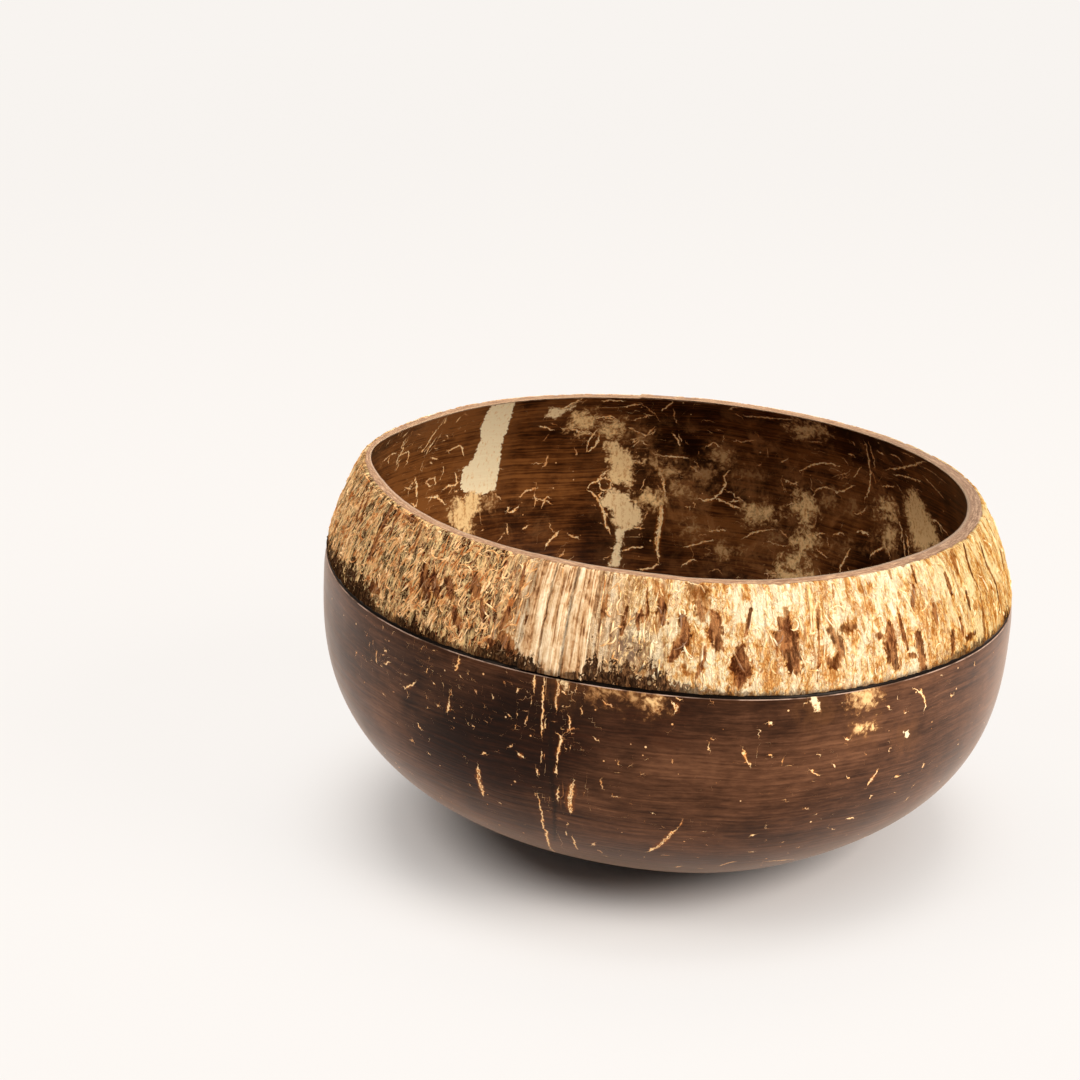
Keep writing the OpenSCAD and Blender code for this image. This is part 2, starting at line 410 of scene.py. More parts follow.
# Lines of pale fibre in the hollow: (half width, strength, points)
HOLLOW_LINE_PIXELS = [
    (1.0, 0.7, [(728, 411), (735, 407), (744, 408)]),
    (1.1, 0.8, [(743, 416), (762, 417), (780, 419), (797, 419)]),
    (0.8, 0.5, [(731, 441), (745, 441), (758, 440)]), (1.0, 0.6, [(766, 541), (778, 545), (789, 546)]),
    (0.9, 0.6, [(780, 529), (788, 539)]), (0.9, 0.6, [(816, 548), (828, 559)]),
    (1.0, 0.6, [(764, 575), (772, 573), (781, 572)]), (1.0, 0.6, [(852, 440), (855, 447)]),
    (1.0, 0.7, [(848, 454), (856, 457)]), (1.0, 0.7, [(876, 450), (884, 455)]),
    (0.9, 0.7, [(889, 454), (897, 457), (903, 464)]), (0.9, 0.6, [(807, 442), (823, 442)]),
    (1.2, 0.8, [(684, 508), (689, 506)]), (1.1, 0.7, [(686, 528), (694, 527)]),
    (0.9, 0.7, [(781, 463), (789, 458)]), (0.8, 0.7, [(680, 434), (680, 443)]),
    (1.0, 0.7, [(853, 479), (861, 466)]), (1.0, 0.7, [(842, 492), (853, 485)]),
    (1.0, 0.8, [(539, 426), (555, 430)]), (1.0, 0.8, [(560, 428), (572, 429), (596, 434)]),
    (1.0, 0.8, [(600, 417), (612, 419), (621, 422)]), (1.0, 0.7, [(646, 435), (655, 427)]),
    (1.0, 0.8, [(630, 462), (646, 463)]), (0.9, 0.5, [(541, 469), (546, 463), (548, 455)]),
    (0.9, 0.6, [(532, 498), (553, 503)]), (1.0, 0.7, [(673, 432), (680, 446)]),
    (1.3, 0.9, [(659, 471), (663, 480), (665, 494)]),
    (2.3, 1.0, [(664, 488), (664, 498), (661, 505), (661.6, 516), (659, 530), (657, 544), (659, 562)]),
    (1.2, 0.8, [(660, 563), (648, 569), (638, 569)]),
    (1.5, 0.9, [(587, 489), (597, 498), (602, 507), (604, 515), (606, 525), (611, 535)]),
    (1.2, 0.9, [(587, 489), (592, 483), (599, 480), (603, 474), (611, 468)]),
    (1.1, 0.9, [(599, 481), (601, 488), (606, 491), (610, 488), (611, 482), (606, 478), (600, 480)]),
    (1.1, 0.9, [(602, 490), (600, 496), (604, 501), (610, 500), (612, 494), (608, 490)]),
    (1.0, 0.8, [(597, 498), (601, 502), (607, 506), (612, 504)]), (1.0, 0.8, [(603, 512), (609, 517)]),
    (1.0, 0.8, [(586, 452), (589, 441), (595, 432), (600, 427)]),
    (1.0, 0.8, [(586, 452), (594, 447), (599, 437), (600, 427)]),
    (1.3, 0.9, [(618, 566), (613, 561), (609, 566)]), (1.0, 0.8, [(628, 427), (646, 435), (656, 430)]),
    (1.0, 0.8, [(632, 447), (640, 441), (648, 446)]), (0.9, 0.7, [(630, 440), (646, 436)]),
    (1.0, 0.8, [(652, 453), (662, 456), (690, 458)]),
    (1.2, 0.85, [(731, 470), (724, 476), (725, 486), (714, 498), (704, 500), (695, 498)]),
    (1.2, 0.85, [(714, 498), (725, 502), (733, 506), (743, 508)]),
    (1.0, 0.8, [(728, 503), (736, 501), (743, 501)]), (1.0, 0.7, [(690, 466), (703, 475)]),
    (1.0, 0.8, [(704, 448), (714, 443), (720, 448)]), (1.2, 0.8, [(683, 548), (700, 543), (714, 539)]),
    (1.0, 0.7, [(706, 532), (726, 529)]), (1.1, 0.9, [(681, 567), (690, 560), (697, 560)]),
    (1.0, 0.8, [(620, 551), (643, 546)]), (0.9, 0.7, [(627, 527), (645, 528)]),
    (1.2, 0.9, [(545, 549), (552, 538), (560, 530)]), (0.9, 0.6, [(567, 534), (580, 538)]),
    (1.1, 0.8, [(601, 401), (625, 401)]), (1.0, 0.8, [(620, 408), (643, 403)]),
    (1.0, 0.7, [(630, 421), (654, 414)]), (1.0, 0.7, [(661, 412), (674, 401)]),
    (1.1, 0.8, [(590, 419), (610, 416), (620, 422)]), (1.0, 0.7, [(576, 431), (593, 435)]),
    (1.3, 0.9, [(543, 420), (550, 412), (560, 409), (570, 405), (585, 397)]),
    (1.0, 0.8, [(864, 440), (868, 455), (870, 470), (870, 483), (864, 503)]),
    (0.8, 0.6, [(868, 441), (873, 456), (875, 470)]),
    (1.1, 0.8, [(799, 472), (810, 466), (825, 463), (842, 467)]),
    (1.0, 0.8, [(783, 479), (792, 484), (799, 482)]),
    (1.0, 0.8, [(812, 498), (817, 490), (826, 487), (838, 492), (856, 485)]),
    (1.1, 0.8, [(885, 470), (905, 467), (926, 461)]), (1.0, 0.8, [(893, 474), (922, 482)]),
    (1.0, 0.7, [(880, 486), (896, 486)]), (0.7, 0.6, [(900, 452), (915, 458)]),
    (0.8, 0.7, [(920, 465), (948, 485)]), (0.8, 0.7, [(922, 475), (945, 500)]),
    (1.0, 0.8, [(926, 521), (938, 522), (942, 535)]), (1.0, 0.8, [(938, 522), (948, 535)]),
    (1.1, 0.8, [(741, 520), (774, 515)]), (1.0, 0.7, [(741, 540), (755, 532), (778, 529)]),
    (1.0, 0.7, [(786, 506), (799, 500)]), (1.0, 0.6, [(756, 467), (762, 463)]),
    (1.1, 0.9, [(851, 547), (847, 556), (841, 566), (840, 573)]),
    (1.2, 0.9, [(869, 559), (873, 553), (886, 547), (890, 559)]),
    (1.1, 0.8, [(856, 532), (862, 532), (870, 536)]), (1.0, 0.8, [(812, 536), (820, 533), (826, 533)]),
    (1.0, 0.7, [(832, 536), (838, 533), (845, 534)]), (0.9, 0.8, [(899, 520), (902, 530), (901, 542)]),
    (0.9, 0.8, [(906, 532), (908, 545), (909, 558)]), (0.9, 0.6, [(903, 534), (904, 545), (905, 558)]),
    (1.0, 0.8, [(852, 513), (862, 513), (867, 506)]), (1.2, 0.8, [(803, 530), (808, 518), (817, 509)]),
    (1.0, 0.7, [(381, 464), (390, 455), (397, 453)]),
    (1.0, 0.9, [(398, 457), (408, 452), (407, 462), (404, 467)]),
    (1.2, 0.9, [(424, 450), (430, 440), (438, 428)]), (1.0, 0.8, [(424, 457), (437, 437)]),
    (1.4, 1.0, [(415, 477), (417, 487), (416, 499)]), (1.0, 0.8, [(430, 458), (438, 459)]),
    (1.2, 0.8, [(446, 452), (461, 446), (464, 456)]), (1.0, 0.8, [(455, 423), (462, 416)]),
    (0.9, 0.7, [(402, 438), (410, 430)]), (1.1, 0.9, [(426, 498), (437, 497), (446, 505)]),
    (1.1, 0.9, [(411, 503), (416, 506), (418, 498)]),
    (1.1, 0.8, [(441, 492), (447, 486), (455, 485), (461, 480)]),
    (1.1, 0.8, [(455, 472), (457, 480), (454, 488)]), (0.9, 0.8, [(402, 492), (406, 488)]),
    (0.9, 0.8, [(426, 482), (430, 486), (433, 484)]), (1.0, 0.8, [(505, 511), (512, 512), (519, 505)]),
    (1.0, 0.6, [(519, 498), (525, 492), (538, 487)]), (0.9, 0.6, [(534, 492), (536, 503), (533, 508)]),
    (0.9, 0.7, [(522, 530), (530, 524)]), (0.9, 0.6, [(507, 522), (508, 535)]),
    (1.0, 0.6, [(552, 497), (545, 499), (541, 508)]),
]
# Lines of pale fibre on the belly: (half width, strength, points)
BELLY_LINE_PIXELS = [
    (1.4, 0.9, [(382, 665), (389, 661)]), (0.8, 0.7, [(375.5, 649), (375.2, 664)]),
    (0.8, 0.6, [(356, 650), (354, 658)]), (1.4, 1.0, [(459, 655), (457, 664), (453.7, 671.6)]),
    (0.9, 0.7, [(458, 674), (462, 679)]), (1.2, 0.9, [(401.6, 688.5), (409, 687), (416, 681)]),
    (0.9, 0.7, [(431.5, 682), (434, 686)]), (0.9, 0.7, [(456, 686), (460, 687)]),
    (0.6, 0.5, [(450.7, 688), (449, 696), (448, 702)]), (1.6, 0.9, [(448.4, 700), (447.5, 707), (446, 714)]),
    (1.1, 0.8, [(434.6, 704.6), (438.4, 708.4)]), (1.2, 0.8, [(520.5, 687.7), (517, 690), (515, 694.6)]),
    (1.2, 0.9, [(506.6, 713.8), (510.5, 718.4)]), (0.7, 0.6, [(528, 713), (524, 727.6)]),
    (0.8, 0.7, [(531, 700), (530.4, 707)]), (1.3, 0.8, [(534.3, 671), (533.6, 684), (532.7, 695)]),
    (0.8, 0.7, [(417, 722), (418.5, 728), (422, 731.4)]), (0.8, 0.6, [(470, 725.3), (473, 729)]),
    (0.8, 0.6, [(484.4, 720.7), (485, 724.5)]), (0.8, 0.6, [(514.3, 731.4), (518, 729)]),
    (0.8, 0.6, [(506.6, 749.8), (513.5, 744.5)]), (1.2, 0.9, [(480.6, 755), (486.7, 754.4)]),
    (2.0, 1.0, [(517, 753), (520, 756), (524, 758)]),
    (2.3, 1.0, [(477.6, 765), (478, 780), (481, 790), (483, 798)]),
    (0.9, 0.8, [(535, 766.7), (537.3, 777.5)]), (0.8, 0.7, [(425.4, 753), (430, 754.4)]),
    (0.7, 0.6, [(410, 737.6), (413, 745)]), (0.7, 0.6, [(381, 692), (384, 697.7)]),
    (1.0, 0.9, [(545, 671), (543, 684), (541.5, 714), (541, 740)]), (0.9, 0.8, [(546.8, 694), (546.8, 700)]),
    (1.1, 0.9, [(545.3, 719.8), (543.8, 731.3)]), (0.9, 0.9, [(541.5, 751), (540, 763.5)]),
    (1.2, 1.0, [(537, 794), (540.7, 812.6), (543, 828), (546.8, 838), (556, 854)]),
    (1.2, 0.8, [(542, 796), (544, 801)]), (1.9, 0.8, [(556.8, 675), (557.4, 688), (556, 699), (555.3, 713)]),
    (1.5, 0.75, [(556, 733), (560.5, 740), (557, 754), (556, 765)]), (1.2, 0.7, [(556, 765), (555, 777)]),
    (1.2, 0.9, [(559, 786.5), (557.4, 795), (556.8, 803.4)]), (1.1, 0.9, [(569, 714), (569, 733)]),
    (1.0, 0.8, [(564.5, 745), (564.5, 752)]), (1.0, 0.8, [(571.5, 746), (569.5, 751)]),
    (1.1, 0.9, [(585, 691), (583.7, 697.5)]), (1.0, 0.7, [(581.3, 706.7), (581, 716)]),
    (3.0, 1.0, [(573.8, 781), (570.5, 795), (569, 804), (570, 815)]),
    (1.3, 0.8, [(584.3, 792.5), (583, 796)]), (1.1, 0.9, [(568, 823.5), (567, 828)]),
    (1.0, 0.8, [(566, 832.5), (566.4, 837)]), (1.0, 0.8, [(572, 836.3), (577.5, 851)]),
    (1.8, 0.9, [(590.5, 846.5), (595.5, 844)]), (0.9, 0.8, [(598, 851), (604.4, 854.8)]),
    (2.0, 1.0, [(646.5, 853), (661, 844.8), (672, 834), (678.5, 829)]),
    (0.9, 0.4, [(678, 829), (682, 824), (684, 818.7)]), (0.7, 0.6, [(610.5, 798.8), (619.7, 796.5)]),
    (0.7, 0.5, [(603, 778), (600.5, 784), (602, 792)]), (1.1, 0.7, [(617.4, 761.5), (617.6, 766)]),
    (1.4, 0.7, [(615.5, 773.4), (619.5, 773.2)]), (0.7, 0.6, [(592.9, 736), (599, 742)]),
    (0.8, 0.6, [(639.6, 774), (645.8, 775.8)]), (0.9, 0.7, [(651, 812.6), (654, 816.4)]),
    (1.0, 0.8, [(644.8, 760), (646.8, 761)]), (0.8, 0.5, [(673.8, 760), (673, 765)]),
    (0.8, 0.8, [(701, 833.3), (706.3, 831.8)]), (0.9, 0.7, [(708.7, 742), (708.5, 749), (710, 754)]),
    (1.2, 0.9, [(742.8, 747.5), (745.6, 756.8), (750.5, 769)]),
    (1.0, 0.5, [(600.5, 700.6), (607, 705), (613.6, 707.5)]), (1.2, 0.9, [(651.9, 713.7), (658.8, 708.3)]),
    (1.2, 0.9, [(675, 697.5), (681.8, 701.4)]), (1.8, 0.9, [(671.8, 702), (677, 709), (673.4, 714.4)]),
    (1.2, 0.6, [(673, 868.4), (684, 866.8)]), (1.6, 0.6, [(718, 867.3), (728, 864), (738, 862.2)]),
    (0.8, 0.6, [(659.6, 856.3), (671, 856.3)]), (2.6, 1.0, [(767, 724), (772.6, 723.4)]),
    (2.0, 0.9, [(768.3, 756.2), (773, 755.6)]), (1.6, 0.9, [(809, 700.8), (805, 706.4)]),
    (1.0, 0.9, [(887.5, 704.5), (892, 712)]), (1.1, 0.9, [(904, 713.8), (909, 712)]),
    (0.6, 0.6, [(899.6, 695), (898.7, 701)]),
    (1.1, 0.9, [(913.6, 688.7), (923, 693.3), (926.7, 704.5), (924.8, 714)]),
    (0.9, 0.8, [(921, 688), (923, 693)]), (1.8, 0.9, [(951, 695.8), (954.8, 695.4)]),
    (1.3, 0.9, [(975.8, 662), (975.4, 667)]), (1.9, 1.0, [(867.8, 787.6), (873, 779), (879.4, 769.6)]),
    (0.6, 0.6, [(868, 788), (864, 791.5)]), (2.1, 1.0, [(922.6, 770.5), (925.2, 763.6)]),
    (1.2, 0.9, [(895, 778.5), (901.8, 776.2)]), (1.5, 0.9, [(912.7, 789), (916.4, 784.2)]),
    (1.0, 0.8, [(809, 769), (814, 773), (821, 776.4)]), (1.1, 0.8, [(833.2, 762), (835.4, 770)]),
    (0.7, 0.6, [(785.7, 757.7), (781, 766)]), (0.8, 0.7, [(811.9, 783), (816.5, 780.7)]),
    (0.9, 0.8, [(870.7, 797), (874.4, 796)]), (1.0, 0.8, [(904.3, 803.5), (910.8, 797)]),
    (0.8, 0.8, [(783, 802.5), (789.5, 801.2)]), (0.7, 0.6, [(803.5, 809), (810, 810.6)]),
    (1.4, 0.8, [(814.8, 816), (818.2, 815.2)]), (0.8, 0.8, [(846.4, 820), (856.7, 818.4)]),
    (0.8, 0.7, [(831.5, 829.6), (836, 830.5)]), (1.2, 0.7, [(749.3, 838), (757.7, 834.8)]),
    (0.8, 0.7, [(747.5, 853), (755.9, 853)]), (1.2, 0.6, [(861.3, 839), (876.3, 833.3)]),
    (1.3, 0.6, [(764, 862.6), (780, 861.4), (796, 859.8)]), (0.7, 0.6, [(889.3, 755), (892, 746.5)]),
    (1.3, 0.9, [(845, 738), (851.5, 740.5)]), (1.6, 0.9, [(819.2, 753.8), (819.4, 758.2)]),
]
# The line that the nut's seam leaves down the belly. Its strength below 0 makes it dark.
BELLY_SEAM = (2.6, -0.8, [(549, 660), (550, 700), (550, 740), (551, 780), (554, 820), (561, 858)])
# Patches of pale fibre on the belly: (strength, softness, outline)
BELLY_PATCH_PIXELS = [
    (0.4, 1.0, [(594, 685), (612, 686), (636, 690), (642, 699), (622, 699), (600, 695)]),
    (0.8, 0.2, [(560, 671), (566, 669), (568.5, 676), (566.5, 687), (562, 692), (560, 684)]),
    (0.6, 0.9, [(643, 691), (650, 692), (657, 696), (660, 703), (655, 706), (648, 703), (645, 698)]),
    (0.9, 0.1, [(810, 695), (816, 694), (820, 706), (821, 716), (817, 711), (813, 703)]),
    (0.6, 0.8, [(851, 690), (862, 687), (874, 688), (878, 697), (873, 703), (866, 707), (861, 709),
                (863, 701), (857, 699), (852, 698)]),
    (0.7, 0.5, [(855, 729), (862, 727), (868, 724.6), (875, 723), (876, 728), (868, 731), (860, 733)]),
    (0.95, 0.0, [(904, 731), (910, 730.5), (910.6, 735), (908, 739), (905.4, 735)]),
]
# Brown spots on the husk: (half width, strength, points)
HUSK_SPOT_PIXELS = [
    (1.0, 0.8, [(818, 610), (819, 640), (820, 672)]), (1.2, 0.8, [(647.2, 593), (646.4, 619)]),
    (4.0, 0.9, [(661.6, 604), (663, 619)]), (5.0, 0.4, [(655, 584), (664, 600)]),
    (4.6, 0.95, [(683, 620), (685, 632), (679, 645), (673, 657)]), (9.0, 0.55, [(694, 589), (704, 600)]),
    (4.5, 0.75, [(699, 604), (702, 616)]), (5.5, 1, [(713.6, 617), (718, 640)]),
    (1.4, 0.8, [(720, 640), (723, 649)]), (1.8, 0.9, [(750.4, 613), (746.4, 632)]),
    (3.5, 0.6, [(786, 611), (788, 621)]), (8.5, 1, [(785, 625), (786, 640), (793, 656), (795, 665)]),
    (7.0, 0.9, [(740, 654), (742, 668), (741, 680)]), (1.8, 0.9, [(704.8, 649), (704.8, 658)]),
    (2.0, 0.9, [(702.4, 662), (700, 668), (697, 676)]), (2.0, 0.8, [(637, 616), (638, 627)]),
    (1.6, 0.8, [(641, 612), (642.4, 620)]), (1.8, 0.7, [(626.4, 611), (622.4, 630)]),
    (1.6, 0.6, [(606.4, 598), (603, 615)]), (1.0, 1, [(590.4, 598), (586.4, 611)]),
    (1.0, 0.9, [(584, 579), (583, 589)]), (2.6, 0.5, [(684, 668), (686, 673)]),
    (4.6, 0.7, [(832.8, 633), (841, 650), (836, 662)]), (5.0, 0.7, [(830, 661), (836, 664)]),
    (4.2, 0.65, [(844, 629), (853, 627)]), (3.4, 0.45, [(850.4, 602), (858.4, 612)]),
    (1.4, 0.5, [(860, 614), (864, 628)]), (3.4, 0.35, [(866, 600), (870, 610)]),
    (2.0, 0.6, [(818.4, 609), (818.4, 619)]), (1.0, 0.9, [(818.6, 640), (817.6, 673)]),
    (3.4, 0.8, [(878, 635), (881, 636)]), (6.0, 1, [(890, 632), (892, 653)]),
    (4.4, 0.7, [(893, 653), (896, 665)]), (1.8, 0.9, [(900, 618), (903, 632), (907, 646)]),
    (6.0, 1, [(918.4, 639), (921, 654), (924, 669)]), (2.8, 0.8, [(911, 655), (915, 656)]),
    (2.8, 0.85, [(913.6, 590), (912.8, 606)]), (1.8, 0.7, [(912.8, 568), (916, 579)]),
    (2.8, 0.9, [(934.6, 606), (936.4, 619)]), (2.2, 0.9, [(946.4, 576), (950.6, 590)]),
    (3.4, 0.6, [(952, 550), (956.4, 569)]), (1.7, 0.9, [(963, 540), (968.8, 564), (979, 589)]),
    (1.9, 0.8, [(981, 546), (986.4, 564), (996, 583), (999.4, 605)]),
    (1.6, 0.8, [(1000.6, 552), (1004, 566)]), (1.8, 0.9, [(967, 594), (970, 606)]),
    (2.6, 0.6, [(981.6, 604), (984, 637)]), (2.4, 0.9, [(960.8, 621), (962.8, 632)]),
    (3.0, 0.9, [(953.6, 635), (952.8, 651)]), (3.0, 0.7, [(968, 638), (974, 634)]),
    (1.8, 0.7, [(984.8, 515), (993, 533)]), (1.4, 0.5, [(889.6, 571), (891, 577)]),
    (3.0, 0.4, [(899, 594), (903, 599)]), (3.2, 0.35, [(822, 593), (825, 599)]),
    (1.0, 0.6, [(832.8, 586), (833.6, 595)]), (3.8, 1, [(390, 510), (383, 524), (377, 538), (371, 554)]),
    (1.8, 1, [(365.6, 491), (360, 508), (355, 525)]), (1.6, 1, [(397.6, 512), (392, 530)]),
    (1.8, 1, [(372.4, 486), (363, 516)]), (3.4, 0.8, [(408, 517), (415, 520)]),
    (1.5, 0.95, [(422.4, 525), (414.8, 547)]), (6.0, 0.75, [(424.4, 572), (426, 592)]),
    (5.0, 0.8, [(434, 578), (436.4, 592)]), (5.0, 0.8, [(449, 583), (451, 594)]),
    (5.0, 0.8, [(475, 580), (476, 591)]), (4.0, 0.85, [(454.8, 612), (458.4, 624)]),
    (2.4, 1, [(482, 603), (483.6, 618)]), (1.6, 1, [(524.6, 568), (520.4, 589)]),
    (3.0, 0.85, [(508, 611), (502, 625)]), (6.0, 0.95, [(504, 639), (510, 650)]),
    (3.0, 0.95, [(528.2, 622), (530.2, 644)]), (4.0, 0.95, [(490, 642), (496, 648)]),
    (5.0, 0.75, [(372, 587), (377, 590)]),
]
# How far above the groove the scorched edge reaches: (pixels across the photo, pixels up)
SCORCH_PIXELS = [
    (322, 14), (335, 20), (350, 27), (362, 20), (372, 8), (390, 5), (402, 12), (420, 13), (436, 9), (450, 5),
    (470, 5), (490, 12), (510, 16), (528, 12), (545, 6), (560, 3), (575, 10), (585, 24), (600, 20),
    (620, 22), (640, 24), (656, 20), (672, 10), (690, 7), (705, 5), (730, 7), (745, 4), (770, 5), (800, 4),
    (830, 3), (870, 3), (920, 3), (950, 6), (975, 8), (1000, 6),
]
# Where the groove runs
GROOVE_PIXELS = [
    (324.9, 565), (360, 608), (420, 638), (500, 662), (580, 680), (660, 692.6), (760, 698.2), (840, 692),
    (920, 672), (980, 646), (1012, 608),
]


def marks_of(side, rows, wider=1.0):
    scale = side.mm_per_pixel * wider
    return [Mark(side, side.cast(points), wide * scale, strength) for wide, strength, points in rows]


def spots_of(rows, longer=0.2, wider=1.25, blunt=0.45):
    """Soft brown spots on the husk, a little longer and wider than the lines read off the photo."""
    found = []
    for wide, strength, points in rows:
        points = np.array(points, float)
        points[0] += (points[0] - points[1]) * longer
        points[-1] += (points[-1] - points[-2]) * longer
        half_width = wide * wider * outside.mm_per_pixel
        found.append(Mark(outside, outside.cast(points), half_width, strength, blunt))
    return found


def patches_of(side, rows):
    return [Mark(side, side.cast(points), soft, strength, bent=False) for strength, soft, points in rows]


def clouds_of(side, rows):
    """Fully soft round patches."""
    turns = np.radians(np.arange(0, 360, 45))
    return patches_of(side, [
        (strength, 1.0, np.column_stack([x + across * np.cos(turns), y + tall * np.sin(turns)]))
        for strength, across, tall, (x, y) in rows
    ])


# Random marks: the spread of their direction (where upright), length, bends and width, their count
# of bends, and the least radius that they are bent round
WAY_SPREAD, LENGTH_SPREAD, BEND_SPREAD, WIDTH_SPREAD = 0.5, 0.55, 0.45, 0.4
MARK_BENDS = 4
LEAST_RADIUS = 8


def random_marks(side, count, low, high, turns, half_width, length, upright, strength):
    """Bent lines at random places between two meridian lengths and two directions."""
    found = []
    while len(found) < count:
        a = math.radians(rng.uniform(*turns))
        at = rng.uniform(low, high)
        radius = float(side.radius(np.array([a]), side.height(np.array([at])))[0])
        # Fewer marks near the lowest point, where the surface is narrow
        if rng.uniform(0, BODY_RADIUS) > radius:
            continue
        way = rng.normal(math.pi / 2, WAY_SPREAD) if rng.uniform() < upright else rng.uniform(0, math.pi)
        size = length * rng.lognormal(0, LENGTH_SPREAD)
        angles = way + np.cumsum(rng.normal(0, BEND_SPREAD, MARK_BENDS))
        over, up = (
            np.concatenate([[0], np.cumsum(part(angles))]) * size / MARK_BENDS for part in (np.cos, np.sin)
        )
        places = [(a + o / max(radius, LEAST_RADIUS), at + u) for o, u in zip(over, up)]
        wide = half_width * rng.lognormal(0, WIDTH_SPREAD)
        found.append(Mark(side, places, wide, rng.uniform(*strength)))
    return found


# Random patches: their count of points on each side, and their softness
PATCH_POINTS = 9
PATCH_SOFTNESS = 0.8


def random_patch(side, turn, low, high, wide, strength, seed):
    """A ragged patch that runs up the meridian, like those the photo shows."""
    a = math.radians(turn)
    lengths = np.linspace(low, high, PATCH_POINTS)
    grid = np.column_stack([lengths / 5, np.full((PATCH_POINTS, 2), 0.5)])
    left, right = (wide * (0.5 + 0.4 * noise(grid, seed + i)) / BODY_RADIUS for i in (0, 1))
    outline = list(zip(a - left, lengths)) + list(zip(a + right, lengths))[::-1]
    return Mark(side, outline, PATCH_SOFTNESS, strength, bent=False)


# Meshes
def add_piece(name, points, loops, material, replaced, fields):
    """A mesh object from points in the body frame (mm) and faces given as arrays of point numbers."""
    mesh = bpy.data.meshes.new(name)
    places = to_world(points)
    places[:, 2] = np.maximum(places[:, 2], 0)
    mesh.vertices.add(len(places))
    mesh.vertices.foreach_set("co", (places / 1000).ravel())
    corners = np.concatenate([f.ravel() for f in loops])
    counts = np.concatenate([np.full(len(f), f.shape[1]) for f in loops])
    mesh.loops.add(len(corners))
    mesh.loops.foreach_set("vertex_index", corners)
    mesh.polygons.add(len(counts))
    mesh.polygons.foreach_set("loop_start", np.concatenate([[0], np.cumsum(counts)[:-1]]))
    mesh.update(calc_edges=True)
    mesh.polygons.foreach_set("use_smooth", np.full(len(counts), True))
    for key, values in fields.items():
        kind, part = ("FLOAT_VECTOR", "vector") if values.ndim == 2 else ("FLOAT", "value")
        held = mesh.attributes.new(key, kind, "POINT")
        held.data.foreach_set(part, values.astype(np.float32).ravel())
    mesh.validate()
    mesh.materials.append(material)
    piece = bpy.data.objects.new(name, mesh)
    bpy.context.scene.collection.objects.link(piece)
    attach(piece, "root")
    if replaced:
        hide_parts(*replaced)
    return piece


def ring_quads(rings, columns, closed=False):
    """Faces between rings of points stacked upwards, seen from outside."""
    lower = np.arange(rings if closed else rings - 1)[:, None] * columns
    upper = (lower + columns) % (rings * columns)
    here = np.arange(columns)[None]
    after = (here + 1) % columns
    return np.stack([lower + here, lower + after, upper + after, upper + here], -1).reshape(-1, 4)


def tip_faces(tip, first, columns, up):
    here = np.arange(columns)
    after = (here + 1) % columns
    face = np.stack([np.full(columns, tip), first + here, first + after], -1)
    return face if up else face[:, ::-1]


# The small step where the saw cut's two ends meet at the back: its direction, height and length
RIM_STEP_TURN = 94.6
RIM_STEP = 0.35
RIM_STEP_LENGTH = 0.35
SAW_MARKS = 0.06


def rim_top(a):
    """The sawn rim's height, with its step and saw marks."""
    from_step = np.mod(math.radians(RIM_STEP_TURN) - a, 2 * math.pi)
    step = RIM_STEP * np.exp(-from_step / RIM_STEP_LENGTH)
    return RIM_HEIGHT - SAW_MARKS + step + SAW_MARKS * layered(around(a, 7), 301)


# The hard shell. Its zones tell the parts of its surface apart for the material.
BELLY, EDGE, GROOVE, RIM, LIP, HOLLOW = 0, 0.25, 0.5, 1, 1.5, 2
COLUMNS = 760
BELLY_RINGS = 128
HOLLOW_RINGS = 140
# How far the lowest rings stay from the lowest points, along the meridian
POLE_GAP = 0.6
# How far the belly's rounded upper edge reaches down, and the hollow's rounded rim, and how far
# that rim is rounded off at its top
EDGE_ROUNDING = 0.15
LIP_ROUNDING = 0.5
LIP_INSET = 0.12
# How far the columns are turned from -X, in radians
SHELL_SHIFT = 0.0021
turns = np.linspace(-math.pi, math.pi, COLUMNS, endpoint=False) + SHELL_SHIFT
top = rim_top(turns)
belly_top = LEDGE_HEIGHT - EDGE_ROUNDING
shell_rings = []
shell_zone = []


def outer_ring(h, inset):
    return around(turns, natural(turns, h) - inset, h)


def hollow_ring(h, inset):
    return around(turns, hollow(turns, h) - inset, h, -HOLLOW_OFFSET)


def add_ring(points, zone):
    shell_rings.append(points)
    shell_zone.append(np.full(COLUMNS, float(zone)))


for length in np.linspace(POLE_GAP, outside.length(belly_top), BELLY_RINGS):
    add_ring(outer_ring(outside.height(length), TURNED_DEPTH), BELLY)
# The belly's rounded upper edge and the groove's floor: height, inset and zone
for lift, inset, mark in [(0.05, 0.31, EDGE), (0.12, 0.36, EDGE), (EDGE_ROUNDING, 0.44, EDGE),
                          (EDGE_ROUNDING, 0.5, GROOVE), (EDGE_ROUNDING, HUSK_THICKNESS, GROOVE)]:
    add_ring(outer_ring(belly_top + lift, inset), mark)
# Behind the husk: share of the height from its lower edge to the rim, and zone
for share, mark in [(0.0, GROOVE), (0.02, GROOVE), (0.25, GROOVE), (0.5, GROOVE), (0.85, RIM), (1.0, RIM)]:
    add_ring(outer_ring(HUSK_EDGE_HEIGHT + share * (top - HUSK_EDGE_HEIGHT), HUSK_THICKNESS), mark)
rim_first = len(shell_rings)
RIM_INSETS = [0.9, 1.3, 1.7, 2.1, 2.5]
for inset in RIM_INSETS:
    share = (inset - HUSK_THICKNESS) / (WALL - HUSK_THICKNESS)
    add_ring(outer_ring(top, HUSK_THICKNESS) * (1 - share) + hollow_ring(top, -LIP_INSET) * share, RIM)
